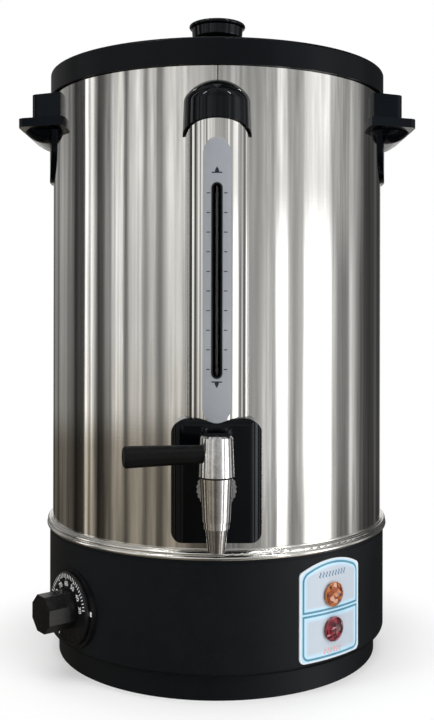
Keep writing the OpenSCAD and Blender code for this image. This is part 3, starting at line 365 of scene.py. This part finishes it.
# ---- Bottom plate, feet and screws ----
# A zinc-coated sheet steel plate closes the base from below. It carries four moulded rubber feet
# and is held by pan-head screws in the housing's bosses.
metal, metal_in, metal_out = new_group(
    "worked metal",
    [("Metal", (0.6, 0.6, 0.6, 1)), ("Stained", (0.45, 0.44, 0.42, 1)), ("Spot Size", (0.02,)),
     ("Smooth", (0.2,)), ("Rough", (0.4,))],
    [("Color", "NodeSocketColor"), ("Roughness", "NodeSocketFloat"), ("Height", "NodeSocketFloat")])
place = metal.nodes.new("ShaderNodeTexCoord").outputs["Object"]
spots = object_noise(metal, place, calculated(metal, "DIVIDE", 1, metal_in.outputs["Spot Size"]), 8, 0.7)
spot_mask = ranged(metal, spots, 0.35, 0.7)
metal.links.new(mixed(metal, spot_mask, metal_in.outputs["Metal"], metal_in.outputs["Stained"]),
                metal_out.inputs["Color"])
metal.links.new(mixed(metal, spot_mask, metal_in.outputs["Smooth"], metal_in.outputs["Rough"], "FLOAT"),
                metal_out.inputs["Roughness"])
metal.links.new(spots, metal_out.inputs["Height"])


def worked_metal(name, color, stained, smooth, rough, spot_size, depth):
    """A plain machined, drawn or plated metal."""
    material, shader = finish(name)
    shader.inputs["Metallic"].default_value = 1
    look = add_group(material, metal, **{"Metal": (*color, 1), "Stained": (*stained, 1),
                                         "Spot Size": spot_size, "Smooth": smooth, "Rough": rough})
    wired(material, shader, look, depth)
    return material


zinc_sheet = worked_metal("zinc-coated sheet", (0.46, 0.47, 0.49), (0.33, 0.34, 0.35), 0.32, 0.5, 0.012, 0.0001)
zinc_plate = worked_metal("zinc-plated fastener", (0.62, 0.62, 0.6), (0.5, 0.48, 0.42), 0.22, 0.38, 0.003, 0.00003)
paint(zinc_sheet, "bottom_plate")
paint(zinc_plate, "bottom_screws", "tie_rods", "tie_rod_nuts", "handle_screws", "tap_lever_stud",
      "thermostat_spindle", "inlet_pins", "inlet_screws", "lid_knob_screw")
black_rubber = plastic("black rubber", (0.006, 0.006, 0.006), (0.015, 0.015, 0.015), 0.6, 0.8, 0.0012, 0.00006, 0.08,
                       specular=0.2)
paint(black_rubber, "rubber_feet", "gauge_slot_trim", "gauge_lower_seal", "gauge_vent_plug", "tap_seal",
      "tap_outer_washer", "lid_knob_washer")

# ---- Trim ring, jacket and tank ----
# The drum is rolled stainless sheet, polished until it mirrors the room, with a doubled bead round its
# foot. The drawn tank inside it hangs from a rolled rim and has a duller, satin finish.
polish, polish_in, polish_out = new_group(
    "polished sheet",
    [("Steel", (0.74, 0.735, 0.72, 1)), ("Smeared", (0.62, 0.615, 0.6, 1)), ("Smooth", (0.06,)), ("Rough", (0.2,))],
    [("Color", "NodeSocketColor"), ("Roughness", "NodeSocketFloat"), ("Height", "NodeSocketFloat")])


def stretched(tree, place, scale):
    """Object places stretched by a factor along each axis."""
    node = tree.nodes.new("ShaderNodeMapping")
    node.inputs["Scale"].default_value = scale
    tree.links.new(place, node.inputs["Vector"])
    return node.outputs[0]


place = polish.nodes.new("ShaderNodeTexCoord").outputs["Object"]
# smears run up and down the sheet, and polishing lines run round it
smears = object_noise(polish, stretched(polish, place, (70, 70, 2.2)), 1, 6, 0.6)
lines = object_noise(polish, stretched(polish, place, (12, 12, 900)), 1, 4)
smear_mask = ranged(polish, smears, 0.38, 0.68)
polish.links.new(mixed(polish, smear_mask, polish_in.outputs["Steel"], polish_in.outputs["Smeared"]),
                 polish_out.inputs["Color"])
polish.links.new(mixed(polish, smear_mask, polish_in.outputs["Smooth"], polish_in.outputs["Rough"], "FLOAT"),
                 polish_out.inputs["Roughness"])
line_share = 0.12
polish.links.new(calculated(polish, "MULTIPLY_ADD", lines, line_share, smears), polish_out.inputs["Height"])


def polished_steel(name, smooth, rough, wave_depth, anisotropy, steel=(0.74, 0.735, 0.72), smeared=(0.62, 0.615, 0.6)):
    """Polished stainless sheet that stretches its reflections up and down."""
    material, shader = finish(name)
    shader.inputs["Metallic"].default_value = 1
    shader.inputs["Anisotropic"].default_value = anisotropy
    look = add_group(material, polish, Smooth=smooth, Rough=rough, Steel=(*steel, 1), Smeared=(*smeared, 1))
    wired(material, shader, look, wave_depth)
    return material


jacket_steel = polished_steel("mirror-polished jacket", 0.035, 0.09, 0.00004, 0.7)
paint(jacket_steel, "outer_jacket")


def put_on(piece, round_drum, out, at=(0, 0), lean=0):
    """Stands a flat piece up against the urn: degrees round to the right, and out from the axis."""
    piece.matrix_world = (
        Matrix.Rotation(math.radians(round_drum), 4, "Z") @ Matrix.Translation((at[0], -out, at[1]))
        @ Matrix.Rotation(math.radians(90), 4, "X") @ Matrix.Rotation(math.radians(lean), 4, "Z")
        @ piece.matrix_world)
    bpy.ops.object.select_all(action="DESELECT")
    piece.select_set(True)
    bpy.context.view_layer.objects.active = piece
    bpy.ops.object.transform_apply(location=True, rotation=True, scale=True)


def lay_on(piece, node, gap):
    """Wraps a flat piece round the surface of a CAD node, gap metres above it."""
    wrap = piece.modifiers.new("wrap", "SHRINKWRAP")
    wrap.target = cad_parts[node]
    wrap.wrap_method = "NEAREST_SURFACEPOINT"
    wrap.wrap_mode = "ABOVE_SURFACE"
    wrap.offset = gap
    bpy.ops.object.modifier_apply(modifier="wrap")


def keep(piece, name, body, slot, *finishes):
    """Names a finished piece, gives it its finishes, and fixes it to what carries it."""
    piece.name = name
    piece.data.name = name
    if finishes:
        piece.data.materials.clear()
        for finish_used in finishes:
            piece.data.materials.append(finish_used)
    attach(piece, body)


# the butt seam of the rolled sheet runs down the front, and shows between the lid and the gauge's hood
seam_metal = worked_metal("dull seam", (0.16, 0.155, 0.15), (0.08, 0.078, 0.075), 0.4, 0.55, 0.004, 0.00002)
bpy.ops.object.select_all(action="DESELECT")
bpy.ops.mesh.primitive_plane_add(size=1)
jacket_seam = bpy.context.object
bpy.ops.object.mode_set(mode="EDIT")
bpy.ops.transform.resize(value=(0.0009, 0.024, 1))
bpy.ops.mesh.subdivide(number_cuts=2)
bpy.ops.mesh.bevel(offset=0.0001, affect="EDGES", segments=1)
bpy.ops.object.mode_set(mode="OBJECT")
put_on(jacket_seam, 0, 0.1402, at=(0.0004, 0.4505))
lay_on(jacket_seam, "outer_jacket", 0.00005)
keep(jacket_seam, "jacket_seam", "urn", "polished_steel", seam_metal)
trim_steel = polished_steel("polished trim", 0.15, 0.22, 0.000002, 0.2, (0.97, 0.965, 0.94), (0.9, 0.89, 0.85))
paint(trim_steel, "trim_ring")
tank_steel = polished_steel("satin tank", 0.24, 0.36, 0.00005, 0.4)
paint(tank_steel, "inner_tank")

# ---- Side handles ----
# Two satin black mouldings are screwed on from inside the jacket. A block and a broad shelf give
# the grip, and an apron plate keeps the fingers off the hot steel.
handle_black = plastic("satin black handle", (0.0008, 0.0011, 0.0020), (0.0014, 0.0018, 0.0030),
                       0.12, 0.2, 0.0012, 0.00001, 0.005, specular=0.15, warm=0.7)
paint(handle_black, "handle_left", "handle_right")

# ---- Gauge column ----
# A half-round cover of polished steel holds a grey printed scale with a long slot. The glass tube
# behind the slot is plugged into the tee on the tap's shank, and a black hood closes the top.
column_steel = polished_steel("polished gauge cover", 0.03, 0.07, 0.00001, 0.4)
paint(column_steel, "gauge_column")

scale_print = plastic("grey printed scale", (0.26, 0.275, 0.3), (0.3, 0.315, 0.34),
                      0.34, 0.46, 0.0006, 0.00001, 0.02, specular=0.3)
paint(scale_print, "gauge_scale")
scale_ink = plastic("dark scale ink", (0.012, 0.013, 0.022), (0.03, 0.032, 0.045), 0.4, 0.5, 0.0005, 0.00001, 0,
                    specular=0.2)

scale_front = 0.164
ink_gap = 0.00006
level_pitch = 0.01374
top_level = 0.3671
line_centre = 0.0066

# ten pairs of level lines stand beside the slot
bpy.ops.object.select_all(action="DESELECT")
bpy.ops.mesh.primitive_plane_add(size=1)
level_lines = bpy.context.object
bpy.ops.object.mode_set(mode="EDIT")
bpy.ops.transform.resize(value=(0.0029, 0.0007, 1))
bpy.ops.mesh.subdivide(number_cuts=2)
bpy.ops.transform.translate(value=(line_centre, 0, 0))
bpy.ops.object.mode_set(mode="OBJECT")
ladder = level_lines.modifiers.new("ladder", "ARRAY")
ladder.count = 10
ladder.use_relative_offset = False
ladder.use_constant_offset = True
ladder.constant_offset_displace = (0, -level_pitch, 0)
bpy.ops.object.modifier_apply(modifier="ladder")
level_lines.modifiers.new("both sides", "MIRROR")
bpy.ops.object.modifier_apply(modifier="both sides")
put_on(level_lines, 0, scale_front, at=(0, top_level))
lay_on(level_lines, "gauge_scale", ink_gap)
keep(level_lines, "scale_level_lines", "urn", "scale_grey", scale_ink)


def end_mark(name, height, upright):
    """A plain arrowhead over a bar: the level's end mark."""
    bpy.ops.object.select_all(action="DESELECT")
    bpy.ops.mesh.primitive_circle_add(vertices=3, radius=0.0019, fill_type="NGON")
    mark = bpy.context.object
    bpy.ops.object.mode_set(mode="EDIT")
    bpy.ops.mesh.inset(thickness=0.0002)
    bpy.ops.transform.translate(value=(0, 0.0016, 0))
    bpy.ops.mesh.primitive_plane_add(size=1)
    bpy.ops.transform.resize(value=(0.0078, 0.0009, 1), center_override=(0, 0, 0))
    bpy.ops.mesh.subdivide(number_cuts=6)
    bpy.ops.transform.translate(value=(0, -0.0012, 0))
    bpy.ops.object.mode_set(mode="OBJECT")
    put_on(mark, 0, scale_front, at=(0, height), lean=0 if upright else 180)
    lay_on(mark, "gauge_scale", ink_gap)
    keep(mark, name, "urn", "scale_grey", scale_ink)


end_mark("scale_full_mark", 0.3826, True)
end_mark("scale_refill_mark", 0.2335, False)

# a pale grey line round the scale is painted highlight, standing for light caught along the scale's edge
edge_highlight_paint = plastic("painted edge highlight", (0.30, 0.30, 0.30), (0.40, 0.40, 0.39), 0.12, 0.25, 0.001, 0.00001, 0)
bpy.ops.object.select_all(action="DESELECT")
bpy.ops.mesh.primitive_circle_add(vertices=48, radius=0.0112, fill_type="NGON")
edge_highlight_ring = bpy.context.object
bpy.ops.object.mode_set(mode="EDIT")
bpy.ops.mesh.select_all(action="DESELECT")
bpy.ops.object.mode_set(mode="OBJECT")
for point in edge_highlight_ring.data.vertices:
    point.select = point.co.y > 0.0001
bpy.ops.object.mode_set(mode="EDIT")
bpy.ops.mesh.select_mode(type="VERT")
bpy.ops.transform.translate(value=(0, 0.1794, 0))
bpy.ops.mesh.select_mode(type="FACE")
bpy.ops.mesh.select_all(action="SELECT")
bpy.ops.mesh.inset(thickness=0.0009)
bpy.ops.mesh.delete(type="FACE")
bpy.ops.object.mode_set(mode="OBJECT")
put_on(edge_highlight_ring, 0, 0.1645, at=(0, 0.21595))
lay_on(edge_highlight_ring, "gauge_column", 0.00005)
keep(edge_highlight_ring, "scale_edge_highlight", "urn", "scale_grey", edge_highlight_paint)

sight_glass, shader = finish("sight glass")
shader.inputs["Transmission Weight"].default_value = 1
shader.inputs["IOR"].default_value = 1.47
shader.inputs["Base Color"].default_value = (0.42, 0.46, 0.46, 1)
look = add_group(sight_glass, metal, **{"Spot Size": 0.01, "Smooth": 0.02, "Rough": 0.1})
sight_glass.node_tree.links.new(look.outputs["Roughness"], shader.inputs["Roughness"])
paint(sight_glass, "gauge_glass")

gloss_black = plastic("glossy black plastic", (0.0009, 0.0011, 0.0015), (0.0015, 0.0018, 0.0024),
                      0.05, 0.11, 0.0022, 0.00001, 0.005, specular=0.3, warm=0.82)
paint(gloss_black, "gauge_hood")

nickel = worked_metal("nickel-plated brass", (0.68, 0.64, 0.56), (0.55, 0.5, 0.42), 0.18, 0.32, 0.004, 0.00002)
paint(nickel, "gauge_tee", "tap_inner_nut", "thermostat_nut")

# ---- Tap ----
# The housing round the gauge's foot is glossy black plastic. The tap in front of it is turned brass
# with bright chrome plate, and its black lever turns the plug by a quarter turn.
paint(gloss_black, "tap_housing")
tap_chrome = worked_metal("bright chrome plate", (0.86, 0.86, 0.87), (0.66, 0.66, 0.67), 0.015, 0.05, 0.007, 0.0001)
paint(tap_chrome, "tap_knurled_nut", "tap_body", "tap_collar", "tap_spout", "tap_bonnet")
lever_black = plastic("satin black lever", (0.0022, 0.0022, 0.0024), (0.004, 0.004, 0.0044),
                      0.4, 0.52, 0.0009, 0.00003, 0.02, specular=0.14)
paint(lever_black, "tap_lever")
plain_brass = worked_metal("machined brass", (0.76, 0.6, 0.3), (0.6, 0.44, 0.2), 0.22, 0.36, 0.003, 0.00003)
paint(plain_brass, "tap_plug", "element_nuts")
red_silicone = plastic("red silicone", (0.35, 0.05, 0.03), (0.42, 0.08, 0.05), 0.5, 0.65, 0.001, 0.00003, 0.1)
paint(red_silicone, "tap_inner_washer", "element_seals")

# ---- Heating ----
# The element is a nickel alloy tube bent to a loop over the tank's floor, dulled by scale and
# heat. A ceramic cut-out below the floor stops it when the tank boils dry.
element_alloy = worked_metal("scaled element sheath", (0.3, 0.28, 0.26), (0.5, 0.47, 0.42), 0.35, 0.6, 0.008, 0.0002)
paint(element_alloy, "heating_element")
ceramic = plastic("ivory ceramic", (0.6, 0.55, 0.42), (0.68, 0.64, 0.52), 0.35, 0.5, 0.0012, 0.00004, 0.15)
paint(ceramic, "dry_boil_cutout", "thermostat_body", "terminal_block")

# ---- Thermostat ----
# The thermostat sits behind the base's wall with its copper capillary run up to the tank's floor.
# Its dial is satin black plastic with white numbers and an eight-sided grip.
copper = worked_metal("drawn copper", (0.8, 0.42, 0.27), (0.5, 0.26, 0.17), 0.24, 0.45, 0.006, 0.00004)
paint(copper, "thermostat_bulb")
dial_black = plastic("satin black dial", (0.003, 0.003, 0.0036), (0.005, 0.005, 0.006),
                     0.24, 0.36, 0.001, 0.00002, 0.04, specular=0.4)
paint(dial_black, "thermostat_knob", "thermostat_bezel")
dial_white = plastic("white dial ink", (0.95, 0.96, 0.97), (0.78, 0.79, 0.8), 0.4, 0.55, 0.0008, 0.00001, 0)
dial_phi = -52
dial_z = 0.053
dial_front = 0.14645
first_angle = 10
number_step = 28.7
numbers = range(30, 120, 10)
scale_sweep = number_step * (len(numbers) - 1)
lines_outer = 0.0265
numbers_radius = 0.0189
bezel_front = 0.1436

bpy.ops.object.select_all(action="DESELECT")
dial_numbers = []
for place, number in enumerate(numbers):
    angle = first_angle + place * number_step
    bpy.ops.object.text_add()
    digits = bpy.context.object
    digits.data.body = str(number)
    digits.data.align_x = "CENTER"
    digits.data.align_y = "CENTER"
    digits.data.size = 0.0054 if number < 100 else 0.0045
    digits.data.resolution_u = 3
    digits.data.offset = 0.00006
    bpy.ops.object.convert(target="MESH")
    ring = Matrix.Rotation(math.radians(angle), 4, "Z") @ Matrix.Translation((numbers_radius, 0, 0))
    digits.matrix_world = ring @ Matrix.Rotation(math.radians(-90), 4, "Z")
    put_on(digits, dial_phi, dial_front, at=(0, dial_z))
    dial_numbers.append(digits)
for digits in dial_numbers:
    digits.select_set(True)
bpy.context.view_layer.objects.active = dial_numbers[0]
bpy.ops.object.join()
keep(bpy.context.object, "dial_numbers", "dial", "dial_black", dial_white)


def ring_of_lines(name, length, width, steps):
    """Ink lines spun round the dial's edge from the first number to the last."""
    bpy.ops.object.select_all(action="DESELECT")
    bpy.ops.mesh.primitive_plane_add(size=1)
    lines_inked = bpy.context.object
    bpy.ops.object.mode_set(mode="EDIT")
    bpy.ops.transform.resize(value=(length, width, 1))
    bpy.ops.transform.translate(value=(lines_outer - length / 2, 0, 0))
    bpy.ops.mesh.spin(dupli=True, steps=steps, angle=math.radians(scale_sweep), center=(0, 0, 0), axis=(0, 0, -1))
    bpy.ops.object.mode_set(mode="OBJECT")
    put_on(lines_inked, dial_phi, dial_front, at=(0, dial_z), lean=first_angle)
    keep(lines_inked, name, "dial", "dial_black", dial_white)


ring_of_lines("dial_short_lines", 0.0031, 0.0007, 40)
ring_of_lines("dial_long_lines", 0.0041, 0.0009, len(numbers) - 1)

# a white index stands on the fixed ring behind the dial, beside the first number
bpy.ops.object.select_all(action="DESELECT")
bpy.ops.mesh.primitive_plane_add(size=1)
dial_index = bpy.context.object
bpy.ops.object.mode_set(mode="EDIT")
bpy.ops.transform.resize(value=(0.0022, 0.0036, 1))
bpy.ops.mesh.bevel(offset=0.0005, affect="VERTICES", segments=3)
bpy.ops.transform.translate(value=(0.0294, 0.0022, 0))
bpy.ops.object.mode_set(mode="OBJECT")
put_on(dial_index, dial_phi, bezel_front, at=(0, dial_z))
lay_on(dial_index, "thermostat_bezel", ink_gap)
keep(dial_index, "dial_index_mark", "urn", "dial_black", dial_white)

# ---- Indicator plate and lamps ----
# A printed plate is stuck to the base, with a white edge, blue frame lines and a pale field round each
# lamp. The lenses are tinted and faceted, amber for keeping warm and red for heating.
plate_white = plastic("white plate edge", (0.70, 0.76, 0.80), (0.78, 0.82, 0.85), 0.2, 0.3, 0.001, 0.00001, 0.02)
paint(plate_white, "indicator_plate")
plate_sky = plastic("light blue ink", (0.46, 0.70, 0.86), (0.54, 0.76, 0.90), 0.2, 0.3, 0.001, 0.00001, 0)
plate_teal = plastic("blue-green ink", (0.07, 0.22, 0.32), (0.14, 0.34, 0.46), 0.2, 0.3, 0.001, 0.00001, 0)
plate_haze = plastic("faded blue ink", (0.50, 0.67, 0.80), (0.54, 0.70, 0.82), 0.2, 0.3, 0.001, 0.00001, 0)
plate_mist = plastic("pale blue ink", (0.49, 0.60, 0.71), (0.53, 0.63, 0.73), 0.2, 0.3, 0.001, 0.00001, 0)
plate_field = plastic("pale field ink", (0.49, 0.555, 0.63), (0.53, 0.59, 0.66), 0.2, 0.3, 0.001, 0.00001, 0)
panel_phi = 37.5
panel_face = 0.1437
flange_face = 0.14535


def printed_panel(half_width, low, sides, crown, rounded, rings):
    """A flat panel with an arched top and rounded corners, inset ring by ring for its colours.

    Heights are above the table; rings are (ink, width), from the edge inwards.
    """
    middle = (sides + low) / 2
    bpy.ops.object.select_all(action="DESELECT")
    bpy.ops.mesh.primitive_plane_add(size=1)
    panel = bpy.context.object
    bpy.ops.object.mode_set(mode="EDIT")
    bpy.ops.transform.resize(value=(half_width * 2, sides - low, 1))
    bpy.ops.transform.translate(value=(0, middle, 0))
    bpy.ops.object.mode_set(mode="OBJECT")
    for edge in panel.data.edges:
        edge.select = all(panel.data.vertices[v].co.y > middle for v in edge.vertices)
    for point in panel.data.vertices:
        point.select = point.co.y > middle
    for face in panel.data.polygons:
        face.select = False
    bpy.ops.object.mode_set(mode="EDIT")
    bpy.ops.mesh.select_mode(type="EDGE")
    if crown > sides:
        bpy.ops.mesh.subdivide(number_cuts=9)
        bpy.ops.object.mode_set(mode="OBJECT")
        for point in panel.data.vertices:
            if point.co.y > middle:
                point.co.y += (crown - sides) * (1 - (point.co.x / half_width) ** 2)
        bpy.ops.object.mode_set(mode="EDIT")
    for corner, radius in rounded:
        bpy.ops.object.mode_set(mode="OBJECT")
        for face in panel.data.polygons:
            face.select = False
        for edge in panel.data.edges:
            edge.select = False
        for point in panel.data.vertices:
            at_side = abs(abs(point.co.x) - half_width) < 1e-6
            point.select = at_side and (point.co.y > middle) == (corner == "top")
        bpy.ops.object.mode_set(mode="EDIT")
        bpy.ops.mesh.select_mode(type="VERT")
        bpy.ops.mesh.bevel(offset=radius, affect="VERTICES", segments=6)
    bpy.ops.mesh.select_mode(type="FACE")
    bpy.ops.mesh.select_all(action="SELECT")
    bpy.ops.object.mode_set(mode="OBJECT")
    for ink, _ in rings:
        panel.data.materials.append(ink)
    bpy.ops.object.mode_set(mode="EDIT")
    for number, (_, width) in enumerate(rings):
        panel.active_material_index = number
        bpy.ops.object.material_slot_assign()
        if width:
            bpy.ops.mesh.inset(thickness=width)
    for cut in range(-9, 10):
        bpy.ops.mesh.select_all(action="SELECT")
        bpy.ops.mesh.bisect(plane_co=(cut * 0.003, 0, 0), plane_no=(1, 0, 0))
    bpy.ops.object.mode_set(mode="OBJECT")
    put_on(panel, panel_phi, panel_face)
    return panel


plate_band = printed_panel(0.0294, 0.0249, 0.0897, 0.0977, [("low", 0.0034), ("top", 0.0034)], [(plate_sky, 0)])
lay_on(plate_band, "indicator_plate", ink_gap)
keep(plate_band, "plate_blue_band", "urn", "plate_print")
upper_panel = printed_panel(0.0287, 0.0605, 0.0889, 0.0967, [("top", 0.0046)], [
    (plate_teal, 0.0016), (plate_sky, 0.0009), (plate_haze, 0.0009), (plate_mist, 0.0009), (plate_field, 0)])
lay_on(upper_panel, "indicator_plate", 2 * ink_gap)
keep(upper_panel, "plate_upper_field", "urn", "plate_print")
lower_panel = printed_panel(0.0287, 0.0257, 0.0592, 0.0592, [("low", 0.0054)], [
    (plate_teal, 0.0016), (plate_sky, 0.0013), (plate_haze, 0.0011), (plate_mist, 0.0011), (plate_field, 0)])
lay_on(lower_panel, "indicator_plate", 2 * ink_gap)
keep(lower_panel, "plate_lower_field", "urn", "plate_print")


def heat_waves(name, count, pitch, height, ink):
    """A row of plain upright waves, the general sign for heat."""
    bpy.ops.object.select_all(action="DESELECT")
    bpy.ops.mesh.primitive_plane_add(size=1)
    waves_inked = bpy.context.object
    bpy.ops.object.mode_set(mode="EDIT")
    bpy.ops.transform.resize(value=(0.0011, 0.0042, 1))
    for cut in range(-5, 6):
        bpy.ops.mesh.select_all(action="SELECT")
        bpy.ops.mesh.bisect(plane_co=(0, cut * 0.00035, 0), plane_no=(0, 1, 0))
    bpy.ops.object.mode_set(mode="OBJECT")
    for point in waves_inked.data.vertices:
        point.co.x += 0.0006 * math.sin(point.co.y / 0.002 * math.pi) - pitch * (count - 1) / 2
    row = waves_inked.modifiers.new("row", "ARRAY")
    row.count = count
    row.use_relative_offset = False
    row.use_constant_offset = True
    row.constant_offset_displace = (pitch, 0, 0)
    bpy.ops.object.modifier_apply(modifier="row")
    put_on(waves_inked, panel_phi, panel_face, at=(0, height))
    lay_on(waves_inked, "indicator_plate", 3 * ink_gap)
    keep(waves_inked, name, "urn", "plate_print", ink)


slate_ink = plastic("slate blue ink", (0.05, 0.13, 0.26), (0.10, 0.2, 0.34), 0.25, 0.35, 0.001, 0.00001, 0)
rose_ink = plastic("rose ink", (0.75, 0.28, 0.26), (0.8, 0.42, 0.4), 0.25, 0.35, 0.001, 0.00001, 0)
heat_waves("plate_keeping_waves", 9, 0.0031, 0.0876, slate_ink)
heat_waves("plate_heating_waves", 6, 0.0031, 0.0303, rose_ink)

# cut lens: each facet has its own colour and gloss. The tint is the lens's own colour; the darkest facets are painted
# shade, and the bright and glinting facets are painted light and painted glints, for light caught in the cut glass
lens_cut, lens_in, lens_out = new_group(
    "cut lens",
    [("Painted Shade", (0.05, 0.01, 0.005, 1)), ("Tint", (0.5, 0.15, 0.03, 1)), ("Bright", (0.8, 0.4, 0.1, 1)),
     ("Painted Glint", (0.9, 0.7, 0.6, 1)), ("Facet Size", (0.0036,))],
    [("Color", "NodeSocketColor"), ("Roughness", "NodeSocketFloat"), ("Height", "NodeSocketFloat")])
place = lens_cut.nodes.new("ShaderNodeTexCoord").outputs["Object"]
facets = lens_cut.nodes.new("ShaderNodeTexVoronoi")
lens_cut.links.new(place, facets.inputs["Vector"])
lens_cut.links.new(calculated(lens_cut, "DIVIDE", 1, lens_in.outputs["Facet Size"]), facets.inputs["Scale"])
facet_tone = lens_cut.nodes.new("ShaderNodeSeparateColor")
lens_cut.links.new(facets.outputs["Color"], facet_tone.inputs[0])
# the facets run from painted shade through the lens's own tint to painted light and painted glints
shade = lens_in.outputs["Painted Shade"]
for low, high, deeper in ((0.30, 0.45, "Tint"), (0.62, 0.72, "Bright"), (0.84, 0.90, "Painted Glint")):
    shade = mixed(lens_cut, ranged(lens_cut, facet_tone.outputs[0], low, high), shade, lens_in.outputs[deeper])
lens_cut.links.new(shade, lens_out.inputs["Color"])
lens_cut.links.new(ranged(lens_cut, facet_tone.outputs[1], 0, 1, 0.05, 0.16), lens_out.inputs["Roughness"])
lens_cut.links.new(facets.outputs["Distance"], lens_out.inputs["Height"])


def lens(name, deep, tint, bright, painted_glint):
    """A tinted lens cut with facets inside its smooth dome; its facets carry painted shade, painted light and painted
    glints.
    """
    material, shader = finish(name)
    look = add_group(material, lens_cut, **{
        "Painted Shade": (*deep, 1), "Tint": (*tint, 1), "Bright": (*bright, 1), "Painted Glint": (*painted_glint, 1), "Facet Size": 0.0030})
    wired(material, shader, look, 0.0006)
    shader.inputs["Coat Weight"].default_value = 0.6
    shader.inputs["Coat Roughness"].default_value = 0.04
    return material


# of each lens's four colours the first is painted shade, the second its own tint, the third painted light and the last
# painted glints
lens_amber = lens("amber lens", (0.10, 0.024, 0.014), (0.30, 0.070, 0.022), (0.50, 0.17, 0.05), (0.66, 0.38, 0.28))
paint(lens_amber, "lamp_amber")
lens_red = lens("red lens", (0.050, 0.004, 0.010), (0.14, 0.007, 0.016), (0.26, 0.026, 0.045), (0.55, 0.22, 0.27))
paint(lens_red, "lamp_red")


def lens_rim(name, height, color, slot):
    """The moulded rim round a lens, standing on its flange."""
    bpy.ops.object.select_all(action="DESELECT")
    bpy.ops.mesh.primitive_torus_add(major_radius=0.0087, minor_radius=0.00055, major_segments=40, minor_segments=8)
    rim = bpy.context.object
    bpy.ops.object.mode_set(mode="EDIT")
    bpy.ops.mesh.select_all(action="SELECT")
    bpy.ops.transform.resize(value=(1, 1, 0.8))
    bpy.ops.object.mode_set(mode="OBJECT")
    bpy.ops.object.shade_smooth_by_angle(angle=math.radians(40))
    put_on(rim, panel_phi, flange_face, at=(0, height))
    keep(rim, name, "urn", slot, color)


amber_rim = plastic("amber lens rim", (0.50, 0.16, 0.03), (0.30, 0.08, 0.02), 0.1, 0.2, 0.002, 0.00002, 0)
red_rim = plastic("red lens rim", (0.22, 0.012, 0.018), (0.10, 0.006, 0.010), 0.1, 0.2, 0.002, 0.00002, 0)
lens_rim("lamp_amber_rim", 0.072, amber_rim, "lens_amber")
lens_rim("lamp_red_rim", 0.046, red_rim, "lens_red")

# ---- Mains inlet ----
# The lead plugs into a moulded inlet at the rear of the base. The lamps are held from inside by
# sockets of the same black plastic.
inlet_black = plastic("black inlet plastic", (0.004, 0.004, 0.0045), (0.008, 0.008, 0.009),
                      0.35, 0.5, 0.0008, 0.00002, 0.05, specular=0.3)
paint(inlet_black, "lamp_holders", "power_inlet")

# ---- Lid ----
# The lid is one satin black moulding with a deep skirt over the rim and a turned knob screwed
# on from below.
lid_black = plastic("satin black lid", (0.0014, 0.0017, 0.0024), (0.0024, 0.0028, 0.0038),
                    0.34, 0.46, 0.0009, 0.00003, 0.01, specular=0.17, warm=0.78)
paint(lid_black, "lid")
paint(gloss_black, "lid_knob")
